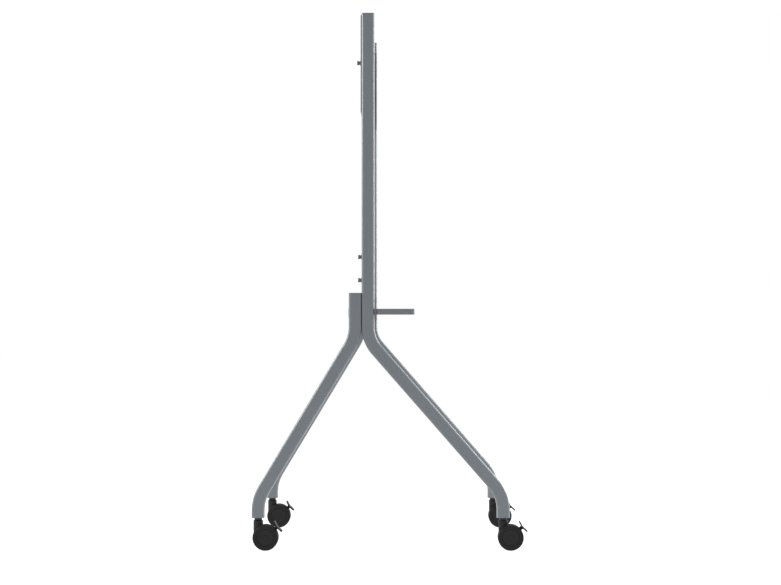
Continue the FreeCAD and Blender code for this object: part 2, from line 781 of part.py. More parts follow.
def arm_insert(point, inward):
    """Straight insert for a tray arm screw, with no swelling because it lies beside the tube's corner."""
    return insert(point, inward, small_insert_radius, small_insert_radius, small_insert_length,
                  small_screw_radius)


def both_sides(points_of, make):
    """Group what make builds at each point of both sides."""
    return Part.Compound([make(point, side) for side in side_signs.values() for point in points_of(side)])


def joint_points(side):
    """All four screw points of one joint plate."""
    return joint_screw_points(side, 0) + joint_screw_points(side, rear_leg_depth)


def build():
    """Every sub-part by its node's name, with the posts' centreline at depth zero."""
    parts = {}
    for name, side in side_signs.items():
        x = side * post_x
        parts[name + "_post"] = post(side)
        parts[name + "_rear_leg"] = rear_leg(side)
        parts[name + "_post_cap"] = end_cap(x, 0, post_tube_top, post_cap_lip)
        parts[name + "_rear_leg_cap"] = end_cap(x, rear_leg_depth, rear_tube_top, rear_cap_lip)
        parts[name + "_display_bracket"] = display_bracket(side)
        parts[name + "_joint_plate"] = joint_plate(side)
        parts[name + "_tray_arm"] = tray_arm(side)
    parts["back_plate"] = back_plate()
    parts["cross_tube"] = cross_tube()
    parts["tray"] = tray()
    parts["rear_screws"] = rear_screws()
    parts["rear_washers"] = rear_washers()
    parts["rear_inserts"] = both_sides(rear_screw_points, lambda point, side: big_insert(point, forward))
    for group, points_of, thickness in (("display_bracket", bracket_screw_points, bracket_thickness),
                                        ("joint_plate", joint_points, joint_plate_thickness)):
        parts[group + "_screws"] = both_sides(
            points_of, lambda point, side: button_screw(point - across * (side * thickness), across * side))
        parts[group + "_inserts"] = both_sides(points_of, lambda point, side: small_insert(point, across * side))
    parts["tray_arm_screws"] = both_sides(arm_screw_points, lambda point, side: flat_screw(
        point + forward * arm_pad_thickness, backward, small_screw_radius, arm_screw_head_radius,
        arm_screw_head_height, arm_screw_length))
    parts["tray_arm_inserts"] = both_sides(arm_screw_points, lambda point, side: arm_insert(point, backward))
    parts["tray_screws"] = both_sides(tray_screw_points, lambda point, side: flat_screw(
        point, down, tray_screw_radius, tray_screw_head_radius, tray_screw_head_height, tray_screw_length))
    for corner, (side, depth) in corners.items():
        parts[corner + "_leg_plug"] = leg_plug(side * post_x, depth)
        caster = {
            "caster_stem": caster_stem(),
            "caster_body": caster_body(),
            "axle": caster_axle(),
            "outer_wheel": caster_wheel(side),
            "inner_wheel": caster_wheel(-side),
            "brake_pedal": brake_pedal(),
            "pedal_pin": pedal_pin(),
        }
        for name, shape in caster.items():
            shape.translate(spot(side * post_x, depth, 0))
            parts[corner + "_" + name] = shape
    return parts


def middle_shift():
    """How far back the part moves so that its origin is under the middle of its depth."""
    pedal_box = brake_pedal().optimalBoundingBox(False, False)
    front_reach = front_foot_run - pedal_box.YMin
    rear_reach = max(tube_half, neck_radius) - rear_foot_depth
    return (front_reach - rear_reach) / 2


shift = middle_shift()
os.makedirs("parts", exist_ok=True)
for node, shape in build().items():
    shape.translate(backward * shift)
    shape.exportStep("parts/" + node + ".step")
print("height", round(post_top, 2), "shift", round(shift, 3), "leg end", round(leg_end, 2))
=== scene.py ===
"""Mobile stand for a large display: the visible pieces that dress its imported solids."""
import logging
import math
from collections.abc import Callable, Sequence
from dataclasses import dataclass
from enum import Enum
from functools import cached_property

import bmesh
import bpy
from mathutils import Matrix, Vector


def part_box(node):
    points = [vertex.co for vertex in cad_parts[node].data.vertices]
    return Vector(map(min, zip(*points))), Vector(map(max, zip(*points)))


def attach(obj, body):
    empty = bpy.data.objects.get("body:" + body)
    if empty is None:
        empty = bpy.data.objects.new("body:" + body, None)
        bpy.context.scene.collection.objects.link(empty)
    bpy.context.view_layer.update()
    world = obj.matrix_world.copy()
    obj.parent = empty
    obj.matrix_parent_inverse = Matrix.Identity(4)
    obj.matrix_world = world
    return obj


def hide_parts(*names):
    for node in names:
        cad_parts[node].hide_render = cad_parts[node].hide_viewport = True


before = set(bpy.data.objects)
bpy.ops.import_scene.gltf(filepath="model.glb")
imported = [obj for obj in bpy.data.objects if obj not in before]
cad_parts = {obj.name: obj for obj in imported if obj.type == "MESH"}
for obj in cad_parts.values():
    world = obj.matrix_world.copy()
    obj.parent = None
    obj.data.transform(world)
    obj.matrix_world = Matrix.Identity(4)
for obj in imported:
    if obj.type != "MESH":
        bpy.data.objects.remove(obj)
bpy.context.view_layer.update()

LOG = logging.getLogger("stand")
BODY = "frame"
ACROSS = Vector((1.0, 0.0, 0.0))
BACKWARD = Vector((0.0, 1.0, 0.0))
UP = Vector((0.0, 0.0, 1.0))
WHITE = (1.0, 1.0, 1.0, 1.0)
SMOOTH_ANGLE = math.radians(34)
BREAK_ANGLE = math.radians(38)
MERGE_GAP = 2e-6
NEAR = 0.0004
FLAT = 0.999
FULL_ROUND = 0.999
PAST = 0.004

Piece = bpy.types.Object
Socket = bpy.types.NodeSocket
Colour = tuple[float, float, float]
Paint = tuple[float, float, float, float]
Profile = Sequence[tuple[float, float]]
Box = tuple[Vector, Vector]


def at(x: float, y: float, z: float) -> Vector:
    """Point or direction from its three coordinates."""
    return Vector((x, y, z))


def near(first: float, second: float) -> bool:
    """Whether two coordinates are the same but for rounding."""
    return abs(first - second) < NEAR


class Kind(Enum):
    """What a selection is made of."""

    POINTS = "VERT"
    EDGES = "EDGE"
    FACES = "FACE"


class Side(Enum):
    """Side of the stand, by the sign of its X."""

    LEFT = -1
    RIGHT = 1

    @property
    def label(self) -> str:
        """Word that starts this side's names."""
        return self.name.lower()

    @property
    def post_y(self) -> float:
        """Y of the post's middle line."""
        return self.box("post")[1].y - BentTube.size / 2

    def box(self, name: str) -> Box:
        """Lowest and highest corner of this side's solid."""
        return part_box(f"{self.label}_{name}")

    def middle_x(self, name: str) -> float:
        """X of the middle of this side's solid."""
        low, high = self.box(name)
        return (low.x + high.x) / 2

    def span(self, name: str) -> tuple[float, float]:
        """Inner and outer X of this side's solid."""
        low, high = self.box(name)
        return (low.x, high.x) if self is Side.RIGHT else (high.x, low.x)

    def rows(self, name: str, inset: float) -> list[float]:
        """Z of two screws that lie inside the ends of this side's solid."""
        low, high = self.box(name)
        return [low.z + inset, high.z - inset]


class Corner(Enum):
    """Corner of the stand that has a caster."""

    FRONT_LEFT = "front_left"
    FRONT_RIGHT = "front_right"
    REAR_LEFT = "rear_left"
    REAR_RIGHT = "rear_right"


class Slot(Enum):
    """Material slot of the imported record."""

    FRAME = "frame_paint"
    BRACKET = "bracket_paint"
    CAP = "cap_plastic"
    PLUG = "plug_plastic"
    CASTER = "caster_plastic"
    WHEEL = "wheel_plastic"
    PEDAL = "pedal_plastic"
    AXLE = "axle_steel"
    STEM = "stem_steel"
    SCREW = "screw_steel"


class NodeSheet:
    """Node tree of a material or of the world."""

    def __init__(self, owner: bpy.types.Material | bpy.types.World, shader: str = "Principled BSDF") -> None:
        """Open the owner's nodes.

        Args:
            owner: The material or the world.
            shader: Name of its shader node.
        """
        owner.use_nodes = True
        self.tree = owner.node_tree
        self.shader = self.tree.nodes[shader]

    @cached_property
    def place(self) -> Socket:
        """The piece's own coordinates."""
        return self.add("ShaderNodeTexCoord").outputs["Object"]

    def feed(self, node: bpy.types.Node, inputs: dict[str | int, object]) -> None:
        """Write or link a node's sockets.

        Args:
            node: The node.
            inputs: A value, or the socket of another node, for each name or number of a socket.
        """
        for key, value in inputs.items():
            if isinstance(value, Socket):
                self.tree.links.new(value, node.inputs[key])
            else:
                node.inputs[key].default_value = value

    def add(self, kind: str, inputs: dict[str | int, object] | None = None,
            **settings: object) -> bpy.types.Node:
        """Add a node.

        Args:
            kind: The node's type name.
            inputs: What goes into its sockets.
            settings: Values of the node's own properties.

        Returns:
            The new node.
        """
        node = self.tree.nodes.new(kind)
        for key, value in settings.items():
            setattr(node, key, value)
        self.feed(node, inputs or {})
        return node

    def noise(self, scale: float, detail: float, roughness: float = 0.55,
              stretch: Colour = (1.0, 1.0, 1.0)) -> Socket:
        """Add a noise over the piece's own coordinates.

        Args:
            scale: Repeats per metre.
            detail: Number of finer layers.
            roughness: Strength of the finer layers.
            stretch: Factors on the three axes.

        Returns:
            The noise's factor.
        """
        mapping = self.add("ShaderNodeMapping", {"Scale": stretch, "Vector": self.place})
        return self.add("ShaderNodeTexNoise", {"Scale": scale, "Detail": detail, "Roughness": roughness,
                                               "Vector": mapping.outputs["Vector"]}).outputs["Fac"]

    def cells(self, scale: float) -> Socket:
        """Add a cell pattern and give the distance to its cells' middles."""
        return self.add("ShaderNodeTexVoronoi", {"Scale": scale, "Vector": self.place}).outputs["Distance"]

    def spread(self, source: Socket, low: float = 0.0, high: float = 1.0, start: float = 0.3,
               end: float = 0.7) -> Socket:
        """Map a factor from one span to another.

        Args:
            source: The factor.
            low: Result at the start of the span.
            high: Result at the end of the span.
            start: Factor that gives the low result.
            end: Factor that gives the high result.

        Returns:
            The mapped value.
        """
        return self.add("ShaderNodeMapRange", {"Value": source, "From Min": start, "From Max": end,
                                               "To Min": low, "To Max": high}).outputs["Result"]

    def mix(self, factor: Socket, first: Socket | Paint, second: Paint) -> Socket:
        """Mix two colours by the share of the second one."""
        return self.add("ShaderNodeMix", {"Factor": factor, 6: first, 7: second}, data_type="RGBA").outputs[2]

    def bump(self, height: Socket, distance: float, below: Socket | None = None) -> Socket:
        """Raise the surface by a height.

        Args:
            height: The height's factor.
            distance: Height in metres where the factor is 1.
            below: Normal of a coarser relief that this one lies on.

        Returns:
            The new normal.
        """
        inputs = {"Strength": 1.0, "Distance": distance, "Height": height}
        if below is not None:
            inputs["Normal"] = below
        return self.add("ShaderNodeBump", inputs).outputs["Normal"]


@dataclass(frozen=True)
class Finish:
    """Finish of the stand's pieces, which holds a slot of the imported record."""

    name: str
    slot: Slot
    colour: Colour

    @cached_property
    def material(self) -> bpy.types.Material:
        """Make the material at its first use.

        Returns:
            The material.
        """
        material = bpy.data.materials.new(self.name)
        sheet = NodeSheet(material)
        sheet.feed(sheet.shader, self.sockets(sheet))
        return material

    def sockets(self, sheet: NodeSheet) -> dict[str, object]:
        """What goes into the shader's sockets, laid out by each kind of finish."""
        raise NotImplementedError

    def shade(self, share: float = 1.0) -> Paint:
        """The colour, lighter or darker by a share of itself."""
        red, green, blue = self.colour
        return red * share, green * share, blue * share, 1.0


@dataclass(frozen=True)
class PowderCoat(Finish):
    """Baked paint with a fine grain over a soft waviness."""

    smooth: float = 0.34
    matt: float = 0.46
    grain: float = 2300.0
    waves: float = 420.0
    flakes: float = 1840.0
    drift: float = 3.0
    grain_height: float = 0.000012
    wave_height: float = 0.000016
    gloss: float = 0.5
    gloss_blur: float = 0.3
    deep: float = 0.97
    pale: float = 1.03
    pit_shade: float = 0.84
    flake_shade: float = 1.28

    def sockets(self, sheet: NodeSheet) -> dict[str, object]:
        """Lay out the paint's nodes.

        Args:
            sheet: The material's node sheet.

        Returns:
            What goes into the shader's sockets.
        """
        grain = sheet.noise(self.grain, 2.0)
        waves = sheet.noise(self.waves, 2.0)
        drift = sheet.spread(sheet.noise(self.drift, 3.0))
        colour = sheet.mix(drift, self.shade(self.deep), self.shade(self.pale))
        colour = sheet.mix(sheet.spread(grain, 0.0, 0.3), colour, self.shade(self.pit_shade))
        flakes = sheet.spread(sheet.cells(self.flakes), 0.35, 0.0, 0.05, 0.25)
        return {"Base Color": sheet.mix(flakes, colour, self.shade(self.flake_shade)),
                "Roughness": sheet.spread(waves, self.smooth, self.matt),
                "Coat Weight": self.gloss, "Coat Roughness": self.gloss_blur,
                "Normal": sheet.bump(grain, self.grain_height, sheet.bump(waves, self.wave_height))}


@dataclass(frozen=True)
class MouldedPlastic(Finish):
    """Moulded plastic with a spark-eroded skin."""

    smooth: float = 0.42
    matt: float = 0.58
    shine: float = 0.5
    grain: float = 3200.0
    flow: float = 38.0
    grain_height: float = 0.000014
    deep: float = 0.9
    pale: float = 1.12
    grain_shade: float = 1.5

    def sockets(self, sheet: NodeSheet) -> dict[str, object]:
        """Lay out the plastic's nodes.

        Args:
            sheet: The material's node sheet.

        Returns:
            What goes into the shader's sockets.
        """
        grain = sheet.noise(self.grain, 3.0, 0.6)
        flow = sheet.noise(self.flow, 3.0, 0.5, (1.0, 1.0, 0.35))
        colour = sheet.mix(sheet.spread(flow), self.shade(self.deep), self.shade(self.pale))
        colour = sheet.mix(sheet.spread(grain, 0.0, 0.45), colour, self.shade(self.grain_shade))
        return {"Base Color": colour, "Roughness": sheet.spread(flow, self.smooth, self.matt),
                "Specular IOR Level": self.shine, "Normal": sheet.bump(grain, self.grain_height)}


@dataclass(frozen=True)
class WheelTread(Finish):
    """Cast polyurethane tread with faint turned lines and a little dust."""

    dust: Paint = (0.05, 0.048, 0.045, 1.0)
    smooth: float = 0.5
    matt: float = 0.68
    shine: float = 0.21
    lines: float = 900.0
    skin: float = 1500.0
    patches: float = 60.0
    line_height: float = 0.00001
    skin_height: float = 0.000012
    deep: float = 0.9
    pale: float = 1.1

    def sockets(self, sheet: NodeSheet) -> dict[str, object]:
        """Lay out the tread's nodes.

        Args:
            sheet: The material's node sheet.

        Returns:
            What goes into the shader's sockets.
        """
        lines = sheet.noise(self.lines, 2.0, 0.5, (1.0, 0.05, 0.05))
        skin = sheet.noise(self.skin, 3.0, 0.6)
        patches = sheet.noise(self.patches, 4.0, 0.6)
        colour = sheet.mix(sheet.spread(lines), self.shade(self.deep), self.shade(self.pale))
        return {"Base Color": sheet.mix(sheet.spread(patches, 0.0, 0.16, 0.5, 0.75), colour, self.dust),
                "Roughness": sheet.spread(patches, self.smooth, self.matt),
                "Specular IOR Level": self.shine,
                "Normal": sheet.bump(skin, self.skin_height, sheet.bump(lines, self.line_height))}


@dataclass(frozen=True)
class PlatedSteel(Finish):
    """Turned steel under a thin plating."""

    stain: Colour
    smooth: float = 0.24
    matt: float = 0.42
    clouds: float = 160.0
    scratches: float = 1400.0
    pits: float = 5000.0
    pit_shade: float = 0.75
    scratch_depth: float = 0.000006

    def sockets(self, sheet: NodeSheet) -> dict[str, object]:
        """Lay out the steel's nodes.

        Args:
            sheet: The material's node sheet.

        Returns:
            What goes into the shader's sockets.
        """
        clouds = sheet.noise(self.clouds, 4.0, 0.6)
        scratches = sheet.noise(self.scratches, 2.0, 0.6, (1.0, 1.0, 0.12))
        pits = sheet.spread(sheet.noise(self.pits, 1.0), 0.0, 0.3)
        colour = sheet.mix(sheet.spread(clouds, 0.0, 1.0, 0.35, 0.7), self.shade(), (*self.stain, 1.0))
        return {"Base Color": sheet.mix(pits, colour, self.shade(self.pit_shade)),
                "Metallic": 1.0, "Roughness": sheet.spread(scratches, self.smooth, self.matt),
                "Normal": sheet.bump(scratches, self.scratch_depth)}


FRAME_PAINT = PowderCoat("slate powder coat", Slot.FRAME, (0.141, 0.158, 0.177))
# Tray: the frame's slate darkened a little, painted shade of the tray's edge and of the post's shadow on it.
TRAY_PAINT_WITH_PAINTED_SHADE = PowderCoat("tray powder coat with painted shade", Slot.FRAME, (0.124, 0.139, 0.154))
# Display brackets: the frame's slate made lighter, painted light that offsets the shade on the brackets
# between the posts.
BRACKET_PAINT_WITH_PAINTED_LIGHT = PowderCoat("bracket powder coat with painted light", Slot.BRACKET, (0.162, 0.183, 0.200))
# Tray arms: the frame's slate darkened to about half, painted shade of the gap between post and tray.
ARM_PAINT_WITH_PAINTED_SHADE = PowderCoat("powder coat darkened for painted shade", Slot.BRACKET, (0.078, 0.088, 0.098))
CAP_PLASTIC = MouldedPlastic("grey cap plastic", Slot.CAP, (0.143, 0.161, 0.173), shine=0.4)
PLUG_PLASTIC = MouldedPlastic("black plug plastic", Slot.PLUG, (0.012, 0.0124, 0.0134), shine=0.3)
HOUSING_NYLON = MouldedPlastic("black caster nylon", Slot.CASTER, (0.0076, 0.0078, 0.0085), shine=0.22)
DISC_NYLON = MouldedPlastic("black wheel nylon", Slot.WHEEL, (0.0074, 0.0075, 0.0081), 0.38, 0.5, 0.23)
TREAD_SKIN = WheelTread("black wheel tread", Slot.WHEEL, (0.0070, 0.0070, 0.0074))
PEDAL_NYLON = MouldedPlastic("black pedal nylon", Slot.PEDAL, (0.0074, 0.0076, 0.0083), 0.46, 0.58, 0.2)
ZINC = PlatedSteel("zinc plated steel", Slot.AXLE, (0.58, 0.59, 0.60), (0.44, 0.45, 0.47))
COLLAR_STEEL = PlatedSteel("dark collar steel", Slot.STEM, (0.052, 0.053, 0.056), (0.036, 0.037, 0.04),
                           0.34, 0.5)
OXIDE_STEEL = PlatedSteel("grey oxide steel", Slot.SCREW, (0.150, 0.152, 0.156), (0.104, 0.105, 0.108),
                          0.36, 0.54)


def leave_edit_mode() -> None:
    """Go back to object mode."""
    if bpy.context.mode != "OBJECT":
        bpy.ops.object.mode_set(mode="OBJECT")


def hold(*pieces: Piece) -> None:
    """Select these pieces alone, the first of them as the active one.

    Args:
        pieces: The pieces.
    """
    leave_edit_mode()
    bpy.ops.object.select_all(action="DESELECT")
    for piece in pieces:
        piece.select_set(True)
    bpy.context.view_layer.objects.active = pieces[0]


def join(pieces: Sequence[Piece]) -> Piece:
    """Join pieces into the first of them.

    Args:
        pieces: The pieces, which end up as one mesh.

    Returns:
        The joined piece.
    """
    hold(*pieces)
    if len(pieces) > 1:
        bpy.ops.object.join()
    return pieces[0]


def copied(piece: Piece, name: str, place: Matrix) -> Piece:
    """Copy a piece to another place, with a mesh of its own.

    Args:
        piece: The piece to copy.
        name: The copy's name.
        place: The move and turn from the piece to its copy.

    Returns:
        The copy, with its place in its mesh.
    """
    hold(piece)
    bpy.ops.object.duplicate(linked=False)
    twin = bpy.context.object
    twin.name = name
    twin.data.name = name
    twin.matrix_world = place
    bpy.ops.object.transform_apply(location=True, rotation=True, scale=True)
    return twin


def put_away(piece: Piece) -> None:
    """Remove a piece that only served to make others.

    Args:
        piece: The piece.
    """
    leave_edit_mode()
    mesh = piece.data
    bpy.data.objects.remove(piece, do_unlink=True)
    bpy.data.meshes.remove(mesh)


def facing(seat: Vector, outward: Vector, turn: float = 0.0) -> Matrix:
    """Place of a fastener made along Z, set on a seat and turned about its own axis.

    Args:
        seat: Point under the head.
        outward: Direction that the head points in.
        turn: Angle about the fastener's axis.

    Returns:
        The place.
    """
    aim = outward.to_track_quat("Z", "Y").to_matrix().to_4x4()
    return Matrix.Translation(seat) @ aim @ Matrix.Rotation(turn, 4, "Z")


def measured(part: bmesh.types.BMVert | bmesh.types.BMEdge | bmesh.types.BMFace) -> Box:
    """Find where a part of a mesh is and which way it goes.

    Args:
        part: A point, edge or face.

    Returns:
        Its middle, with its normal or an edge's direction.
    """
    if isinstance(part, bmesh.types.BMFace):
        return part.calc_center_median(), part.normal
    if isinstance(part, bmesh.types.BMVert):
        return part.co, part.normal
    first, last = (point.co for point in part.verts)
    return (first + last) / 2, (last - first).normalized()


class Bench:
    """Where one piece is shaped, with the operators that a modeller uses by hand."""

    def __init__(self, name: str) -> None:
        """Note the piece's name and clear the selection.

        Args:
            name: Name that the piece gets.
        """
        leave_edit_mode()
        bpy.ops.object.select_all(action="DESELECT")
        self.name = name
        self.piece: Piece = None

    def settle(self) -> None:
        """Name the new primitive, put its place into its mesh and open it for editing."""
        self.piece = bpy.context.object
        self.piece.name = self.name
        self.piece.data.name = self.name
        bpy.ops.object.transform_apply(location=True, rotation=True, scale=True)
        self.open()

    def open(self) -> None:
        """Edit this piece's mesh."""
        if bpy.context.mode == "EDIT_MESH" and bpy.context.object == self.piece:
            return
        hold(self.piece)
        bpy.ops.object.mode_set(mode="EDIT")

    def block(self, low: Vector, high: Vector) -> None:
        """Start from a cube between two corners."""
        bpy.ops.mesh.primitive_cube_add(size=1.0, location=(low + high) / 2, scale=high - low)
        self.settle()

    def rounded(self, low: Vector, high: Vector, axis: Vector, radius: float, steps: int) -> None:
        """Start from a block whose edges along one axis are rounded.

        Args:
            low: Lowest corner.
            high: Highest corner.
            axis: The axis.
            radius: Radius of the rounds.
            steps: Number of faces in each round.
        """
        self.block(low, high)
        self.pick_along(Kind.EDGES, axis)
        self.bevel(radius, steps)

    def square(self, middle: Vector, size: float) -> None:
        """Start from a level square."""
        bpy.ops.mesh.primitive_plane_add(size=size, location=middle)
        self.settle()

    def bar(self, start: Vector, end: Vector, sides: int, radius: float, last: float | None = None) -> None:
        """Start from a round bar, or from a cone.

        Args:
            start: Middle of the first end.
            end: Middle of the other end.
            sides: Number of sides.
            radius: Radius, or a cone's radius at its first end.
            last: A cone's radius at its other end.
        """
        way = end - start
        aim = facing((start + end) / 2, way.normalized())
        place = {"vertices": sides, "depth": way.length, "location": aim.to_translation(),
                 "rotation": aim.to_euler()}
        if last is None:
            bpy.ops.mesh.primitive_cylinder_add(radius=radius, **place)
        else:
            bpy.ops.mesh.primitive_cone_add(radius1=radius, radius2=last, **place)
        self.settle()

    def trace(self, points: Sequence[Vector], closed: bool = False) -> None:
        """Start from one point and extrude it along a line.

        Args:
            points: Corners of the line.
            closed: Whether the line ends where it starts.
        """
        self.square(points[0], 1.0)
        self.pick_all(Kind.POINTS)
        bpy.ops.mesh.merge(type="CENTER")
        bpy.ops.mesh.select_all(action="SELECT")
        route = [*points, points[0]] if closed else points
        for start, end in zip(route, route[1:]):
            self.extrude(end - start)
        if closed:
            self.pick_all(Kind.POINTS)
            bpy.ops.mesh.remove_doubles(threshold=MERGE_GAP)

    def pick(self, kind: Kind, wanted: Callable[[Vector, Vector], bool]) -> None:
        """Select what a test wants.

        Args:
            kind: Points, edges or faces.
            wanted: Test of a middle and a normal, or for an edge its direction.
        """
        self.open()
        bpy.ops.mesh.select_mode(type=kind.value)
        bpy.ops.mesh.select_all(action="DESELECT")
        mesh = bmesh.from_edit_mesh(self.piece.data)
        parts = {Kind.POINTS: mesh.verts, Kind.EDGES: mesh.edges, Kind.FACES: mesh.faces}[kind]
        for part in parts:
            if wanted(*measured(part)):
                part.select_set(True)
        mesh.select_flush_mode()
        bmesh.update_edit_mesh(self.piece.data)

    def pick_along(self, kind: Kind, axis: Vector) -> None:
        """Select the edges along an axis, or the faces square to it."""
        self.pick(kind, lambda middle, way: abs(way.dot(axis)) > FLAT)

    def pick_toward(self, direction: Vector) -> None:
        """Select the flat faces that look in a direction."""
        self.pick(Kind.FACES, lambda middle, way: way.dot(direction) > FLAT)

    def pick_all(self, kind: Kind) -> None:
        """Select everything.

        Args:
            kind: Points, edges or faces.
        """
        self.open()
        bpy.ops.mesh.select_mode(type=kind.value)
        bpy.ops.mesh.select_all(action="SELECT")

    def extrude(self, move: Vector) -> None:
        """Extrude the selection by a move."""
        bpy.ops.mesh.extrude_region_move(TRANSFORM_OT_translate={"value": move})

    def inset(self, width: float, depth: float = 0.0, each: bool = False) -> None:
        """Inset the selected faces, raised by the depth.

        Args:
            width: How far the new edge lies inside the old one.
            depth: How far the new face rises.
            each: Whether each face is inset on its own.
        """
        bpy.ops.mesh.inset(thickness=width, depth=depth, use_individual=each, use_even_offset=True)

    def bevel(self, width: float, steps: int, points: bool = False) -> None:
        """Round the selected edges, or the selected points in their plane.

        Args:
            width: Radius of a square corner.
            steps: Number of faces in the round.
            points: Whether points are rounded.
        """
        bpy.ops.mesh.bevel(offset=width, segments=steps, profile=0.5, loop_slide=False,
                           affect="VERTICES" if points else "EDGES")

    def lathe(self, steps: int, centre: Vector = Vector(), axis: Vector = UP) -> None:
        """Sweep the traced line through a full turn and close it.

        Args:
            steps: Number of steps.
            centre: Point on the axis.
            axis: The axis.
        """
        self.pick_all(Kind.POINTS)
        bpy.ops.mesh.spin(steps=steps, angle=math.tau, center=centre, axis=axis, use_auto_merge=True)
        self.close_up()

    def close_up(self) -> None:
        """Merge doubled points and turn the faces outward."""
        self.pick_all(Kind.POINTS)
        bpy.ops.mesh.remove_doubles(threshold=MERGE_GAP)
        bpy.ops.mesh.normals_make_consistent(inside=False)

    def agree(self) -> None:
        """Turn the faces the same way."""
        self.pick_all(Kind.FACES)
        bpy.ops.mesh.normals_make_consistent(inside=False)

    def face_to(self, direction: Vector) -> None:
        """Turn an open sheet so that the faces square to a direction look along it.

        Args:
            direction: The direction.
        """
        self.agree()
        mesh = bmesh.from_edit_mesh(self.piece.data)
        if sum(face.normal.dot(direction) * face.calc_area() for face in mesh.faces) < 0:
            bpy.ops.mesh.flip_normals()

    def modify(self, kind: str, **settings: object) -> None:
        """Add a modifier and apply it.

        Args:
            kind: The modifier's type.
            settings: Values of the modifier's properties.
        """
        hold(self.piece)
        bpy.ops.object.modifier_add(type=kind)
        modifier = self.piece.modifiers[-1]
        for key, value in settings.items():
            setattr(modifier, key, value)
        bpy.ops.object.modifier_apply(modifier=modifier.name)

    def thicken(self, wall: float) -> None:
        """Give a sheet its thickness, against the way that its faces look."""
        self.modify("SOLIDIFY", thickness=wall, offset=-1.0, use_even_offset=True, use_rim=True)

    def carve(self, cutters: Sequence[Piece]) -> None:
        """Cut pieces out of this one.

        Args:
            cutters: The pieces, which are joined and put away.
        """
        cutter = join(cutters)
        self.modify("BOOLEAN", operation="DIFFERENCE", solver="EXACT", object=cutter)
        put_away(cutter)

    def unite(self, other: Piece) -> None:
        """Fuse another piece into this one."""
        self.modify("BOOLEAN", operation="UNION", solver="EXACT", object=other)
        put_away(other)

    def soften(self, width: float = 0.0005, steps: int = 2) -> None:
        """Break the sharp edges by a width, in a number of faces."""
        self.modify("BEVEL", width=width, segments=steps, limit_method="ANGLE", angle_limit=BREAK_ANGLE,
                    use_clamp_overlap=True, harden_normals=False)

    def done(self) -> Piece:
        """Smooth the shading and let the wide faces lead it.

        Returns:
            The finished piece.
        """
        hold(self.piece)
        bpy.ops.object.shade_smooth_by_angle(angle=SMOOTH_ANGLE)
        self.modify("WEIGHTED_NORMAL", keep_sharp=True, weight=80)
        return self.piece


def rod_tool(start: Vector, end: Vector, radius: float, sides: int = 40) -> Piece:
    """Make a round cutter.

    Args:
        start: Middle of the first end.
        end: Middle of the other end.
        radius: The cutter's radius.
        sides: Number of sides.

    Returns:
        The cutter.
    """
    bench = Bench("drill")
    bench.bar(start, end, sides, radius)
    return bench.piece


def drill(face: Vector, inward: Vector, depth: float, radius: float, sides: int = 40) -> Piece:
    """Make a drill that starts before a face and goes past the depth."""
    return rod_tool(face - inward * PAST, face + inward * (depth + PAST), radius, sides)


def across_tool(middle: Vector, half: float, radius: float, sides: int = 40) -> Piece:
    """Make a round cutter that lies across the stand."""
    return rod_tool(middle - ACROSS * half, middle + ACROSS * half, radius, sides)


def slot_tool(low: Vector, high: Vector) -> Piece:
    """Make a cutter with round ends that goes through along Y.

    Args:
        low: Lowest corner.
        high: Highest corner.

    Returns:
        The cutter.
    """
    bench = Bench("slot cutter")
    bench.rounded(low, high, BACKWARD, (high.z - low.z) / 2 * FULL_ROUND, 12)
    return bench.piece


def fit(piece: Piece, finish: Finish, node: str = "", body: str = BODY) -> None:
    """Dress a piece, let it ride on its body and stand it in for its solid.

    Args:
        piece: The finished piece.
        finish: Its finish.
        node: The solid that it replaces.
        body: The body that it moves with.
    """
    piece.data.materials.clear()
    piece.data.materials.append(finish.material)
    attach(piece, body)
    off = 0.0
    if node:
        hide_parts(node)
        for axis, (low, high) in enumerate(zip(*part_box(node))):
            places = [vertex.co[axis] for vertex in piece.data.vertices]
            off = max(off, abs(low - min(places)), abs(high - max(places)))
    LOG.info("%s: %d faces, box off its solid by %.2f mm", piece.name, len(piece.data.polygons), off * 1000)


@dataclass(frozen=True)
class Fastener:
    """Screw turned along Z, with its seat at zero and its head above it."""

    name: str
    profile: Profile
    top: float
    socket: float
    socket_depth: float
    rounds: Sequence[tuple[float, float, float]] = ()
    knurl: tuple[float, float] | None = None
    groove: float = 0.00012
    groove_depth: float = 0.00016
    groove_edge: float = 0.0001
    sides: int = 40

    def shape(self) -> Piece:
        """Turn the screw, knurl its head and cut its socket.

        Returns:
            The screw, as a pattern to copy.
        """
        bench = Bench(self.name)
        bench.trace([at(radius, 0.0, z) for radius, z in self.profile])
        for radius, z, width in self.rounds:
            bench.pick(Kind.POINTS, lambda middle, way: (middle - at(radius, 0.0, z)).length < MERGE_GAP)
            bench.bevel(width, 3, points=True)
        bench.lathe(self.sides)
        if self.knurl:
            low, high = self.knurl
            bench.pick(Kind.FACES, lambda middle, way: low < middle.z < high and abs(way.z) < 1 - FLAT)
            bench.inset(self.groove, -self.groove_depth, each=True)
            bench.inset(self.groove_edge, each=True)
        bench.carve([rod_tool(at(0.0, 0.0, self.top - self.socket_depth), at(0.0, 0.0, self.top + PAST),
                              self.socket, 6)])
        return bench.done()


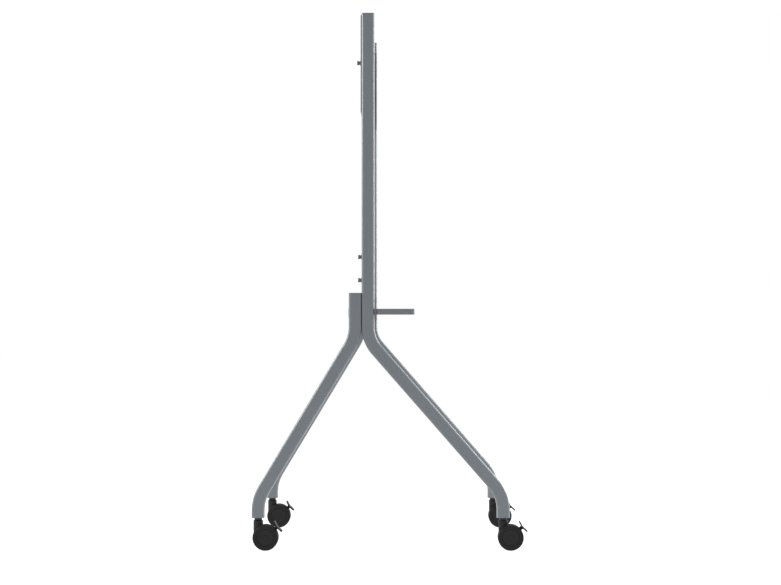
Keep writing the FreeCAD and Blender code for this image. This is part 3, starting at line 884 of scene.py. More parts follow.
@dataclass(frozen=True)
class SunkScrew:
    """Countersunk screw with its head flush at zero, and the cutter of its seat."""

    name: str
    head: float
    height: float
    shank: float
    length: float
    socket: float
    point: float = 0.0006
    socket_share: float = 0.8

    def shape(self) -> Piece:
        """Turn the screw.

        Returns:
            The screw, as a pattern to copy.
        """
        profile = ((0.0, 0.0), (self.head, 0.0), (self.shank, -self.height),
                   (self.shank, self.point - self.length), (self.shank - self.point, -self.length),
                   (0.0, -self.length))
        return Fastener(self.name, profile, 0.0, self.socket, self.height * self.socket_share).shape()

    def seat(self, top: Vector, inward: Vector, depth: float) -> Piece:
        """Make the countersink with its drill.

        Args:
            top: Point on the face that is cut.
            inward: Direction of the cut.
            depth: Depth of the drilled hole.

        Returns:
            The cutter.
        """
        slope = (self.head - self.shank) / self.height
        spare = self.height / 4
        bench = Bench("countersink")
        bench.bar(top - inward * spare, top + inward * (self.height + spare), 48,
                  self.head + slope * spare, self.shank - slope * spare)
        bench.unite(rod_tool(top, top + inward * depth, self.shank))
        return bench.piece


ARM_SCREW = SunkScrew("arm screw", 0.0055, 0.0028, 0.003, 0.018, 0.0023)
SHEET_SCREW = SunkScrew("sheet screw", 0.004, 0.0019, 0.002, 0.012, 0.0015)


def set_out(pattern: Piece, name: str, node: str, seats: Sequence[Box], first: float = 0.0,
            step: float = 0.0) -> None:
    """Copy a fastener to its seats at the angles where it came to rest, and fit the joined copies.

    Args:
        pattern: The fastener, which is put away at the end.
        name: Name of the joined piece.
        node: The solid that it replaces.
        seats: Point under each head, with the direction that the head points in.
        first: Angle of the first copy in degrees.
        step: Angle from one copy to the next.
    """
    copies = [copied(pattern, f"{name}_{index}", facing(*seat, math.radians(first + step * index)))
              for index, seat in enumerate(seats)]
    joined = join(copies)
    joined.name = name
    joined.data.name = name
    put_away(pattern)
    fit(joined, OXIDE_STEEL, node)


@dataclass(frozen=True)
class BentTube:
    """Square tube with rounded corners that leans out between two bends."""

    word: str
    node: str
    run: float
    lean: float
    reach: float
    bends: tuple[float, float]
    end: float
    size: float = 0.040
    corner: float = 0.0075
    wall: float = 0.002
    edge: float = 0.0003
    corner_steps: int = 8
    bend_steps: int = 16

    def shape(self, side: Side, middle_y: float, holes: Sequence[Piece]) -> Piece:
        """Draw the section, lead it down through its bends and give it its wall.

        Args:
            side: Side of the stand.
            middle_y: Y of the tube's middle line at its top.
            holes: Cutters of the holes in the wall.

        Returns:
            The tube.
        """
        spot = at(side.middle_x(self.node), middle_y, side.box(self.node)[1].z)
        bench = Bench(f"{side.label}_{self.word}")
        bench.square(spot, self.size)
        bench.pick_all(Kind.POINTS)
        bench.bevel(self.corner, self.corner_steps, points=True)
        bench.pick_all(Kind.FACES)
        bpy.ops.mesh.delete(type="ONLY_FACE")
        bench.pick_all(Kind.EDGES)
        lean = math.radians(self.lean)
        leaning = self.reach / math.sin(abs(lean)) - sum(self.bends) * math.tan(abs(lean) / 2)
        heading = 0.0
        for run, turn, radius in ((self.run, lean, self.bends[0]), (leaning, -lean, self.bends[1])):
            ahead = self.down(heading) * run
            bench.extrude(ahead)
            beside = self.down(heading + math.copysign(math.pi / 2, turn)) * radius
            bpy.ops.mesh.spin(steps=self.bend_steps, angle=turn, center=spot + ahead + beside, axis=ACROSS)
            heading += turn
            spot = spot + ahead + beside - self.down(heading + math.copysign(math.pi / 2, turn)) * radius
        bench.extrude(self.down(heading) * self.end)
        bench.agree()
        bench.thicken(self.wall)
        bench.carve(holes)
        bench.soften(self.edge, 1)
        return bench.done()

    @staticmethod
    def down(heading: float) -> Vector:
        """Direction down a tube that leans forward by the heading."""
        return at(0.0, -math.sin(heading), -math.cos(heading))


@dataclass
class SideFrame:
    """Post with its front leg, the rear leg, and the caps on both."""

    side: Side
    post: BentTube = BentTube("upright_tube", "post", run=0.97124, lean=41.16, reach=0.4218,
                              bends=(0.111, 0.125), end=0.0237)
    rear_leg: BentTube = BentTube("rear_leg_tube", "rear_leg", run=0.09877, lean=-31.02, reach=0.3026,
                                  bends=(0.130, 0.135), end=0.0213)
    big_hole: float = 0.0056
    small_hole: float = 0.0046
    cap_round: float = 0.0016
    cap_seam: float = 0.0002
    spigot: float = 0.018
    spigot_inset: float = 0.0021
    spigot_wall: float = 0.0025

    def build(self) -> None:
        """Bend both tubes, drill them, cap them and fit them all."""
        side, y = self.side, self.side.post_y
        inner_x = side.span("post")[0]
        joint_zs = side.rows("joint_plate", JointPlate.screw_inset)
        angle_zs = side.rows("display_bracket", DisplayBracket.screw_inset)
        rear_y = y + BentTube.size / 2
        front_y = y - BentTube.size / 2
        holes = [self.wall_drill(at(inner_x, y, z)) for z in joint_zs + angle_zs]
        holes += [drill(at(side.middle_x("post"), rear_y, z), -BACKWARD, 0.0, self.big_hole)
                  for z in RearScrews.heights()]
        holes += [drill(at(x, front_y, z), BACKWARD, 0.0, self.small_hole)
                  for x, z in TrayArm.screw_places(side)]
        fit(self.post.shape(side, y, holes), FRAME_PAINT, f"{side.label}_post")
        y += BentTube.size
        holes = [self.wall_drill(at(inner_x, y, z)) for z in joint_zs]
        fit(self.rear_leg.shape(side, y, holes), FRAME_PAINT, f"{side.label}_rear_leg")
        for word in ("post", "rear_leg"):
            self.build_cap(f"{side.label}_{word}")

    def wall_drill(self, place: Vector) -> Piece:
        """Drill for a small insert in a tube's inner wall."""
        return drill(place, ACROSS * self.side.value, 0.0, self.small_hole)

    def build_cap(self, stem: str) -> None:
        """Make an end cap with a rounded top and a hollow spigot, and fit it.

        Args:
            stem: Start of the names of the cap and its solid.
        """
        low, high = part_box(f"{stem}_cap")
        bench = Bench(f"{stem}_end_cap")
        bench.rounded(at(low.x, low.y, low.z + self.spigot), high, UP, BentTube.corner, 8)
        bench.pick_toward(UP)
        bench.bevel(self.cap_round, 4)
        bench.pick_toward(-UP)
        bench.bevel(self.cap_seam, 2)
        bench.pick_toward(-UP)
        bench.inset(self.spigot_inset - self.cap_seam)
        bench.extrude(UP * -self.spigot)
        bench.inset(self.spigot_wall)
        bench.extrude(UP * self.spigot)
        fit(bench.done(), CAP_PLASTIC, f"{stem}_cap")


@dataclass
class DisplayBracket:
    """Folded angle on a post's inner face, with two level slots for the display."""

    side: Side
    sheet: float = 0.004
    fold: float = 0.005
    corner: float = 0.006
    slot_length: float = 0.020
    slot_width: float = 0.0084
    slot_spacing: float = 0.200
    slot_x: float = 0.300
    screw_hole: float = 0.0031
    screw_inset: float = 0.024

    @staticmethod
    def screw_places(side: Side) -> list[tuple[float, float]]:
        """Y and Z of the screws that hold a bracket on its post."""
        return [(side.post_y, z) for z in side.rows("display_bracket", DisplayBracket.screw_inset)]

    def build(self) -> None:
        """Fold the sheet, cut its slots and holes, and fit it."""
        outward = ACROSS * self.side.value
        low, high = self.side.box("display_bracket")
        free_x, face_x = self.side.span("display_bracket")
        bench = Bench(f"{self.side.label}_display_angle")
        bench.trace([at(face_x, high.y, low.z), at(face_x, low.y, low.z), at(free_x, low.y, low.z)])
        bench.pick_all(Kind.EDGES)
        bench.extrude(UP * (high.z - low.z))
        bench.pick(Kind.EDGES, lambda middle, way: abs(way.z) > FLAT and near(middle.x, face_x)
                   and near(middle.y, low.y))
        bench.bevel(self.fold, 6)
        bench.pick(Kind.POINTS, lambda middle, way: (near(middle.z, low.z) or near(middle.z, high.z))
                   and (near(middle.y, high.y) or near(middle.x, free_x)))
        bench.bevel(self.corner, 6, points=True)
        bench.face_to(outward - BACKWARD)
        bench.thicken(self.sheet)
        half = at(self.slot_length / 2, 0.0, self.slot_width / 2)
        cutters = []
        for rise in (-self.slot_spacing / 2, self.slot_spacing / 2):
            spot = at(outward.x * self.slot_x, low.y, (low.z + high.z) / 2 + rise)
            cutters.append(slot_tool(spot - half - BACKWARD * PAST,
                                     spot + half + BACKWARD * (self.sheet + PAST)))
        cutters += [drill(at(face_x, y, z), -outward, self.sheet, self.screw_hole)
                    for y, z in self.screw_places(self.side)]
        bench.carve(cutters)
        bench.soften()
        fit(bench.done(), BRACKET_PAINT_WITH_PAINTED_LIGHT, f"{self.side.label}_display_bracket")


@dataclass
class JointPlate:
    """Plate that ties a post to its rear leg."""

    side: Side
    corner: float = 0.008
    screw_hole: float = 0.0031
    screw_inset: float = 0.009

    @staticmethod
    def screw_places(side: Side) -> list[tuple[float, float]]:
        """Y and Z of a plate's screws, those in the post first."""
        return [(y, z) for y in (side.post_y, side.post_y + BentTube.size)
                for z in side.rows("joint_plate", JointPlate.screw_inset)]

    def build(self) -> None:
        """Cut the plate to shape and fit it."""
        low, high = self.side.box("joint_plate")
        bench = Bench(f"{self.side.label}_leg_joint_plate")
        bench.rounded(low, high, ACROSS, self.corner, 8)
        bench.carve([drill(at(low.x, y, z), ACROSS, high.x - low.x, self.screw_hole)
                     for y, z in self.screw_places(self.side)])
        bench.soften()
        fit(bench.done(), FRAME_PAINT, f"{self.side.label}_joint_plate")


@dataclass
class CrossTube:
    """Square tube between the joint plates, with a bead of weld at each end."""

    bead: float = 0.0021
    ripple: float = 0.16
    ripple_cuts: int = 11

    def build(self) -> None:
        """Make and fit the tube and its two beads."""
        low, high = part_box("cross_tube")
        bench = Bench("cross_member")
        bench.rounded(low, high, ACROSS, BentTube.corner, 8)
        bench.pick_along(Kind.FACES, ACROSS)
        bpy.ops.mesh.delete(type="ONLY_FACE")
        bench.agree()
        bench.thicken(BentTube.wall)
        fit(bench.done(), FRAME_PAINT, "cross_tube")
        for side, x in ((Side.LEFT, low.x), (Side.RIGHT, high.x)):
            corners = ((low.y, low.z), (high.y, low.z), (high.y, high.z), (low.y, high.z))
            self.build_bead(f"{side.label}_cross_weld", [at(x, y, z) for y, z in corners])

    def build_bead(self, name: str, ring: Sequence[Vector]) -> None:
        """Run a rippled bead round the tube's end and fit it.

        Args:
            name: The bead's name.
            ring: Corners of the tube's end.
        """
        bench = Bench(name)
        bench.trace(ring, closed=True)
        bench.pick_all(Kind.POINTS)
        bench.bevel(BentTube.corner, 6, points=True)
        bench.pick(Kind.EDGES, lambda middle, way: max(abs(way.y), abs(way.z)) > FLAT)
        bpy.ops.mesh.subdivide(number_cuts=self.ripple_cuts)
        hold(bench.piece)
        bpy.ops.object.convert(target="CURVE")
        curve = bench.piece.data
        curve.bevel_depth = self.bead
        curve.bevel_resolution = 2
        for index, point in enumerate(curve.splines[0].points):
            point.radius = 1.0 - self.ripple * (index % 2)
        bpy.ops.object.convert(target="MESH")
        bench.piece = bpy.context.object
        bench.close_up()
        fit(bench.done(), FRAME_PAINT)


@dataclass
class BackPlate:
    """Plate across the rear of the posts, with holes for a device and a cable window."""

    corner: float = 0.002
    screw_hole: float = 0.0045
    screw_drop: float = 0.1482
    device_reach: float = 0.050
    device_hole: float = 0.00225
    window_reach: float = 0.070
    window_height: float = 0.036
    window_rise: float = 0.032

    def build(self) -> None:
        """Cut the plate to shape and fit it."""
        low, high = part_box("back_plate")
        bench = Bench("rear_panel")
        bench.rounded(low, high, BACKWARD, self.corner, 5)
        middle_z = (low.z + high.z) / 2
        spots = [(side.middle_x("tray_arm"), high.z - self.screw_drop, self.screw_hole) for side in Side]
        spots += [(x, middle_z + rise, self.device_hole) for x in (-self.device_reach, self.device_reach)
                  for rise in (-self.device_reach, self.device_reach)]
        cutters = [drill(at(x, low.y, z), BACKWARD, high.y - low.y, radius) for x, z, radius in spots]
        window = low.z + self.window_rise
        cutters.append(slot_tool(at(-self.window_reach, low.y - PAST, window),
                                 at(self.window_reach, high.y + PAST, window + self.window_height)))
        bench.carve(cutters)
        bench.soften()
        fit(bench.done(), FRAME_PAINT, "back_plate")


@dataclass
class Tray:
    """Folded tray in front of the posts, its sheet a little below its rim."""

    wall: float = 0.002
    rim: float = 0.003
    front_corner: float = 0.010
    rear_corner: float = 0.003
    notch: float = 0.0043
    notch_spare: float = 0.001
    edge: float = 0.0006

    def build(self) -> None:
        """Shape the tray, notch it for its arms, sink its screws and fit it."""
        low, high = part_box("tray")
        middle_y = (low.y + high.y) / 2
        sheet_top = high.z - self.rim
        sheet_low = sheet_top - self.wall
        bench = Bench("shelf_tray")
        bench.block(low, high)
        bench.pick(Kind.EDGES, lambda middle, way: abs(way.z) > FLAT and middle.y < middle_y)
        bench.bevel(self.front_corner, 12)
        bench.pick(Kind.EDGES, lambda middle, way: abs(way.z) > FLAT and near(middle.y, high.y))
        bench.bevel(self.rear_corner, 5)
        for direction, move in ((UP, -self.rim), (-UP, sheet_low - low.z)):
            bench.pick_toward(direction)
            bench.inset(self.wall)
            bench.extrude(UP * move)
        cutters = []
        for side in Side:
            x = side.middle_x("tray_arm")
            cutter = Bench("notch cutter")
            cutter.block(at(x - self.notch, high.y - self.wall - self.notch_spare, low.z - PAST),
                         at(x + self.notch, high.y + PAST, sheet_low))
            cutters.append(cutter.piece)
            cutters += [SHEET_SCREW.seat(at(x, y, sheet_top), -UP, self.wall + PAST)
                        for y in TrayArm.sheet_screw_ys()]
        bench.carve(cutters)
        bench.soften(self.edge)
        fit(bench.done(), TRAY_PAINT_WITH_PAINTED_SHADE, "tray")


@dataclass
class TrayArm:
    """Pad on a post's front face with the bar that carries the tray."""

    side: Side
    pad: float = 0.007
    pad_corner: float = 0.003
    bar_width: float = 0.008
    bar_height: float = 0.012
    screw_spacing: float = 0.020
    sheet_hole: float = 0.00205
    sheet_hole_depth: float = 0.010
    sheet_setback: float = 0.014
    sheet_screw_spacing: float = 0.072

    @staticmethod
    def sheet_screw_ys() -> tuple[float, float]:
        """Y of the two screws that hold the tray on each arm."""
        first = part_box("tray")[1].y - TrayArm.sheet_setback
        return first, first - TrayArm.sheet_screw_spacing

    @staticmethod
    def screw_places(side: Side) -> list[tuple[float, float]]:
        """X and Z of the two screws that hold an arm on its post."""
        low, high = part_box("tray")
        return [(side.middle_x("tray_arm") + sign * TrayArm.screw_spacing / 2, (low.z + high.z) / 2)
                for sign in (-1, 1)]

    def build(self) -> None:
        """Join the pad and the bar, sink the screws and fit the arm."""
        low, high = self.side.box("tray_arm")
        tray_low, tray_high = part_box("tray")
        x = self.side.middle_x("tray_arm")
        face_y = high.y - self.pad
        bench = Bench(f"{self.side.label}_tray_carrier")
        bench.rounded(at(low.x, face_y, tray_low.z), at(high.x, high.y, tray_high.z), BACKWARD,
                      self.pad_corner, 5)
        bar_top = tray_high.z - Tray.rim - Tray.wall
        bar = Bench("carrier bar")
        bar.block(at(x - self.bar_width / 2, low.y, bar_top - self.bar_height),
                  at(x + self.bar_width / 2, high.y - self.pad / 2, bar_top))
        bench.unite(bar.piece)
        tools = [ARM_SCREW.seat(at(screw_x, face_y, z), BACKWARD, self.pad + PAST)
                 for screw_x, z in self.screw_places(self.side)]
        tools += [drill(at(x, y, bar_top), -UP, self.sheet_hole_depth, self.sheet_hole, 24)
                  for y in self.sheet_screw_ys()]
        bench.carve(tools)
        bench.soften()
        fit(bench.done(), ARM_PAINT_WITH_PAINTED_SHADE, f"{self.side.label}_tray_arm")


@dataclass
class RearScrews:
    """Six socket screws with washers on the rear of the posts."""

    head: float = 0.0065
    head_height: float = 0.0068
    neck: float = 0.0052
    neck_height: float = 0.0027
    shank: float = 0.004
    length: float = 0.019
    chamfer: float = 0.0008
    point: float = 0.001
    socket: float = 0.0034
    socket_depth: float = 0.004
    washer: float = 0.008
    washer_hole: float = 0.0043
    washer_thickness: float = 0.0016
    edge: float = 0.0003
    lower_rise: float = 0.0397
    lower_spacing: float = 0.0724

    @staticmethod
    def heights() -> list[float]:
        """Z of a post's three rear screws, the one on the plate first."""
        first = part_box("left_rear_leg_cap")[1].z + RearScrews.lower_rise
        return [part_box("back_plate")[1].z - BackPlate.screw_drop, first, first + RearScrews.lower_spacing]

    def build(self) -> None:
        """Make and fit the screws and their washers."""
        plate_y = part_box("back_plate")[1].y
        seats = [at(side.middle_x("post"), side.box("post")[1].y if index else plate_y, z)
                 for side in Side for index, z in enumerate(self.heights())]
        under = self.neck_height
        top = under + self.head_height
        shoulder = top - self.chamfer
        profile = ((0.0, top), (self.head - self.chamfer, top), (self.head, shoulder),
                   (self.head, under + 0.0034), (self.head, under + 0.0006), (self.head - self.edge, under),
                   (self.neck, under), (self.neck, 0.0), (self.shank, 0.0),
                   (self.shank, self.point - self.length), (self.shank - self.point, -self.length),
                   (0.0, -self.length))
        rounds = ((self.head - self.chamfer, top, self.edge), (self.neck, under, 0.0004))
        screw = Fastener("socket screw", profile, top, self.socket, self.socket_depth, rounds,
                         (under + 0.0007, shoulder - 0.0002), sides=44)
        set_out(screw.shape(), "rear_socket_screws", "rear_screws",
                [(seat + BACKWARD * self.washer_thickness, BACKWARD) for seat in seats], 23.0, 47.0)
        section = ((self.washer_hole, 0.0), (self.washer, 0.0), (self.washer, self.washer_thickness),
                   (self.washer_hole, self.washer_thickness))
        bench = Bench("washer")
        bench.trace([at(radius, 0.0, z) for radius, z in section], closed=True)
        bench.pick_all(Kind.POINTS)
        bench.bevel(self.edge, 3, points=True)
        bench.lathe(48)
        set_out(bench.done(), "rear_flat_washers", "rear_washers", [(seat, BACKWARD) for seat in seats])


@dataclass
class SmallScrews:
    """Button screws of the brackets and joint plates, and the sunk screws of the tray."""

    head: float = 0.00525
    head_height: float = 0.0033
    shank: float = 0.003
    length: float = 0.014
    point: float = 0.0008
    dome_share: float = 0.7
    socket: float = 0.0022
    socket_depth: float = 0.002

    def button(self) -> Piece:
        """Turn a button screw.

        Returns:
            The screw, as a pattern to copy.
        """
        profile = ((0.0, self.head_height), (self.head, self.head_height), (self.head, 0.0),
                   (self.shank, 0.0), (self.shank, self.point - self.length),
                   (self.shank - self.point, -self.length), (0.0, -self.length))
        dome = (self.head, self.head_height, self.head_height * self.dome_share)
        return Fastener("button screw", profile, self.head_height, self.socket, self.socket_depth,
                        (dome,)).shape()

    def build(self) -> None:
        """Make and fit all the small screws."""
        angle_seats, plate_seats, arm_seats, sheet_seats = [], [], [], []
        sheet_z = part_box("tray")[1].z - Tray.rim
        for side in Side:
            inward = ACROSS * -side.value
            angle_x = side.span("display_bracket")[1] - side.value * DisplayBracket.sheet
            angle_seats += [(at(angle_x, y, z), inward) for y, z in DisplayBracket.screw_places(side)]
            plate_x = side.span("joint_plate")[0]
            plate_seats += [(at(plate_x, y, z), inward) for y, z in JointPlate.screw_places(side)]
            face_y = side.box("tray_arm")[1].y - TrayArm.pad
            arm_seats += [(at(x, face_y, z), -BACKWARD) for x, z in TrayArm.screw_places(side)]
            x = side.middle_x("tray_arm")
            sheet_seats += [(at(x, y, sheet_z), UP) for y in TrayArm.sheet_screw_ys()]
        set_out(self.button(), "display_angle_screws", "display_bracket_screws", angle_seats, 23.0, 47.0)
        set_out(self.button(), "leg_joint_screws", "joint_plate_screws", plate_seats, 23.0, 47.0)
        set_out(ARM_SCREW.shape(), "tray_carrier_screws", "tray_arm_screws", arm_seats, 0.0, 31.0)
        set_out(SHEET_SCREW.shape(), "tray_sheet_screws", "tray_screws", sheet_seats, 17.0, 29.0)


@dataclass
class Caster:
    """Twin-wheel caster with a brake pedal, made once about its stem's foot and copied."""

    wheel: float = 0.040
    trail: float = 0.023
    web_half: float = 0.0088
    gap: float = 0.0006
    width: float = 0.015
    rim: float = 0.033
    dish: float = 0.003
    hub_bore: float = 0.00405
    face_steps: Profile = (
        (0.0004, 0.033), (0.0, 0.0325), (0.0, 0.0288), (0.0004, 0.0284), (0.0017, 0.0281), (0.0017, 0.0266),
        (0.0007, 0.0252), (0.0007, 0.0244), (0.0016, 0.0226), (0.0018, 0.0120), (0.0013, 0.0098),
        (0.0013, 0.0086), (0.0004, 0.0080), (0.0001, 0.0066), (0.0001, 0.0))
    shoulder: float = 0.004
    shoulder_steps: int = 8
    tread_gap: float = 0.0001
    tread_sink: float = 0.0002
    tread_lip: float = 0.0005
    neck: float = 0.015
    neck_round: float = 0.002
    neck_top: float = 0.094
    neck_low: float = 0.036
    web: float = 0.035
    web_drop: float = 0.015
    clearing: float = 0.0415
    clearing_width: float = 0.021
    collar: float = 0.012
    collar_low: float = 0.0944
    chamfer: float = 0.0008
    leg_end: float = 0.1016
    stud: float = 0.006
    stud_length: float = 0.030
    pin: float = 0.005
    pin_length: float = 0.032
    pin_play: float = 0.00005
    pin_room: float = 0.0016
    axle_bore: float = 0.004
    housing_edge: float = 0.0006
    pedal_angle: float = math.radians(43.1)
    pedal_inset: float = 0.010
    pedal_hub: float = 0.0055
    pedal_hub_half: float = 0.0054
    pedal_play: float = 0.0015
    pedal_bore: float = 0.002
    pedal_foot: float = 0.008
    pedal_flare: float = 0.0036
    pedal_reach: float = 0.0086
    wing: float = 0.0042
    wing_width: float = 0.038
    wing_corner: float = 0.009
    wing_edge: float = 0.0009
    upper_wing: float = 0.0180
    upper_tilt: float = math.radians(16.6)
    lower_wing: float = 0.0219
    lower_tilt: float = math.radians(4.2)
    ribs: Profile = ((0.42, 0.34), (0.60, 0.34), (0.78, 0.28))
    rib: float = 0.0007
    rib_sink: float = 0.0003
    rib_round: float = 0.0004

    def __post_init__(self) -> None:
        """Work out the middles that the pieces share."""
        self.hub = at(0.0, -self.trail, self.wheel)
        self.outward = at(0.0, -math.cos(self.pedal_angle), math.sin(self.pedal_angle))
        self.along = at(0.0, math.sin(self.pedal_angle), math.cos(self.pedal_angle))
        self.pivot = self.hub + self.outward * (self.wheel - self.pedal_inset)
        self.inner_x = self.web_half + self.gap
        self.outer_x = self.inner_x + self.width

    def disc(self, side: Side) -> Piece:
        """Turn a wheel's disc, dished on its outer side and hollow on its inner one.

        Args:
            side: The side that the disc's face looks to.

        Returns:
            The disc.
        """
        inner = self.inner_x
        back = self.outer_x - self.dish
        profile = [(back, 0.0), (back, self.hub_bore), (inner, self.hub_bore), (inner, 0.010),
                   (back, 0.0108), (back, 0.0285), (back - 0.001, 0.0300), (inner + 0.0006, 0.0300),
                   (inner, 0.0306), (inner, self.rim)]
        profile += [(self.outer_x - depth, radius) for depth, radius in self.face_steps]
        return self.turn_wheel("wheel disc", profile, side)

    def tread(self, side: Side) -> Piece:
        """Turn a wheel's tread, with rounded shoulders.

        Args:
            side: The side that the wheel's face looks to.

        Returns:
            The tread.
        """
        face = self.outer_x - self.tread_gap
        back = self.inner_x
        low = self.rim - self.tread_sink
        profile = [(back, low)]
        for x, sign in ((back + self.shoulder, -1), (face - self.shoulder, 1)):
            angles = [math.pi / 2 * step / self.shoulder_steps for step in range(self.shoulder_steps + 1)]
            arc = [(x + sign * self.shoulder * math.cos(angle),
                    self.wheel - self.shoulder * (1 - math.sin(angle))) for angle in angles]
            profile += arc[::-sign]
        profile += [(face, self.rim + self.tread_lip), (face - self.tread_lip, low)]
        return self.turn_wheel("wheel tread", profile, side)

    def turn_wheel(self, name: str, profile: Profile, side: Side) -> Piece:
        """Turn a closed profile about the axle.

        Args:
            name: The pattern's name.
            profile: X and radius of the profile's corners.
            side: The side that the profile's face looks to.

        Returns:
            The turned piece.
        """
        bench = Bench(name)
        bench.trace([self.hub + at(side.value * x, 0.0, radius) for x, radius in profile], closed=True)
        bench.lathe(96, self.hub, ACROSS)
        return bench.done()

    def housing(self) -> Piece:
        """Join the neck and the web, cut the wheels' room, the pedal's slot and the bores.

        Returns:
            The housing.
        """
        bench = Bench("caster housing")
        bench.bar(UP * self.neck_low, UP * self.neck_top, 64, self.neck)
        bench.pick_toward(UP)
        bench.bevel(self.neck_round, 4)
        bench.unite(across_tool(self.hub, self.web_half, self.web, 96))
        reach = at(self.outer_x, self.wheel, 0.0)
        foot = at(0.0, -self.trail, 0.0)
        under = Bench("under cutter")
        under.block(foot - reach, foot + reach + UP * (self.wheel - self.web_drop))
        cutters = [under.piece]
        for side in Side:
            start = self.hub + ACROSS * (side.value * self.web_half)
            end = start + ACROSS * (side.value * self.clearing_width)
            cutters.append(rod_tool(start, end, self.clearing, 128))
        slot = self.pedal_hub + self.pedal_play
        half = self.pedal_hub_half + self.gap
        bore = self.neck_top - self.pin_length - self.pin_room
        cutters += [across_tool(self.pivot, half, slot, 48), self.mouth_tool(slot, half),
                    rod_tool(UP * bore, UP * (self.neck_top + PAST), self.pin + self.pin_play),
                    across_tool(self.hub, self.outer_x, self.axle_bore),
                    across_tool(self.pivot, self.outer_x, self.pedal_bore, 24)]
        for cutter in cutters:
            bench.carve([cutter])
        bench.soften(self.housing_edge)
        return bench.done()

    def mouth_tool(self, radius: float, half: float) -> Piece:
        """Make the cutter that opens the pedal's slot to the outside.

        Args:
            radius: Half the slot's height.
            half: Half the slot's width.

        Returns:
            The cutter.
        """
        bench = Bench("mouth cutter")
        start = self.pivot - ACROSS * half
        bench.trace([start + self.along * radius, start - self.along * radius])
        bench.pick_all(Kind.EDGES)
        bench.extrude(self.outward * self.pedal_inset)
        bench.pick_all(Kind.FACES)
        bench.extrude(ACROSS * (half * 2))
        bench.close_up()
        return bench.piece

    def stem(self) -> Piece:
        """Turn the stem: swivel pin, collar with a groove, and stud.

        Returns:
            The stem.
        """
        low, leg, collar, chamfer = self.collar_low, self.leg_end, self.collar, self.chamfer
        foot = low - self.pin_length
        top = leg + self.stud_length
        profile = [(0.0, foot), (self.pin - chamfer, foot), (self.pin, foot + chamfer), (self.pin, low),
                   (collar - chamfer, low), (collar, low + chamfer), (collar, low + 0.0030),
                   (collar - 0.0006, low + 0.0034), (collar - 0.0006, low + 0.0040), (collar, low + 0.0044),
                   (collar, leg - 0.0005), (collar - 0.0005, leg), (self.stud, leg),
                   (self.stud, top - 0.001), (self.stud - 0.001, top), (0.0, top)]
        bench = Bench("stem")
        bench.trace([at(radius, 0.0, z) for radius, z in profile])
        bench.lathe(56)
        return bench.done()

    def pedal(self) -> Piece:
        """Bend the two wings, and join them to the stalk and its hub.

        Returns:
            The pedal.
        """
        junction = self.hub + self.outward * (self.wheel + self.pedal_reach)
        upper = self.along * math.cos(self.upper_tilt) + self.outward * math.sin(self.upper_tilt)
        lower = self.outward * math.sin(self.lower_tilt) - self.along * math.cos(self.lower_tilt)
        start = junction + self.outward * (self.wing / 2) - ACROSS * (self.wing_width / 2)
        bench = Bench("pedal wings")
        bench.trace([start + upper * self.upper_wing, start, start + lower * self.lower_wing])
        bench.pick_all(Kind.EDGES)
        bench.extrude(ACROSS * self.wing_width)
        bench.pick(Kind.POINTS, lambda middle, way: (middle - start).yz.length > self.wing)
        bench.bevel(self.wing_corner, 7, points=True)
        bench.face_to(self.outward)
        bench.thicken(self.wing)
        bench.unite(self.stalk())
        bench.carve([across_tool(self.pivot, self.outer_x, self.pedal_bore + self.pin_play, 24)])
        bench.soften(self.wing_edge, 3)
        for share, width in self.ribs:
            sink = at(0.0, upper.z, -upper.y) * self.rib_sink
            middle = start + ACROSS * (self.wing_width / 2) + upper * (self.upper_wing * share) + sink
            rib = Bench("grip rib")
            rib.bar(middle - ACROSS * (self.wing_width * width), middle + ACROSS * (self.wing_width * width),
                    12, self.rib)
            rib.pick_along(Kind.FACES, ACROSS)
            rib.bevel(self.rib_round, 2)
            bench.unite(rib.piece)
        return bench.done()

    def stalk(self) -> Piece:
        """Make the stalk and the round hub at its foot.

        Returns:
            The joined stalk and hub.
        """
        half = self.along * (self.pedal_foot / 2)
        half_x = self.pedal_hub_half - 0.0001
        start = self.pivot - ACROSS * half_x
        end = start + self.outward * (self.pedal_inset + self.pedal_reach)
        bench = Bench("pedal stalk")
        bench.trace([start - half, start + half, end + half, end - half - self.along * self.pedal_flare],
                    closed=True)
        bench.pick_all(Kind.EDGES)
        bpy.ops.mesh.edge_face_add()
        bench.pick_all(Kind.FACES)
        bench.extrude(ACROSS * (half_x * 2))
        bench.close_up()
        bench.unite(across_tool(self.pivot, self.pedal_hub_half, self.pedal_hub, 48))
        return bench.piece

    def build(self) -> None:
        """Make the patterns, and copy and fit them at every corner."""
        parts = (("collar", "caster_stem", "", self.stem(), COLLAR_STEEL),
                 ("housing", "caster_body", "caster", self.housing(), HOUSING_NYLON),
                 ("foot_pedal", "brake_pedal", "brake_pedal", self.pedal(), PEDAL_NYLON))
        discs = {side: self.disc(side) for side in Side}
        treads = {side: self.tread(side) for side in Side}
        for corner in Corner:
            stem = corner.value
            low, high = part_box(f"{stem}_caster_stem")
            foot = Matrix.Translation(((low.x + high.x) / 2, (low.y + high.y) / 2, 0.0))
            for word, node, body, pattern, finish in parts:
                fit(copied(pattern, f"{stem}_{word}", foot), finish, f"{stem}_{node}",
                    f"{stem}_{body}" if body else BODY)
            outer, inner = (Side.LEFT, Side.RIGHT) if "left" in stem else (Side.RIGHT, Side.LEFT)
            for place, side in (("outer", outer), ("inner", inner)):
                wheel = f"{stem}_{place}_wheel"
                fit(copied(discs[side], f"{stem}_{place}_disc", foot), DISC_NYLON, wheel, wheel)
                fit(copied(treads[side], f"{stem}_{place}_tread", foot), TREAD_SKIN, body=wheel)
        for pattern in [row[3] for row in parts] + [*discs.values(), *treads.values()]:
            put_away(pattern)


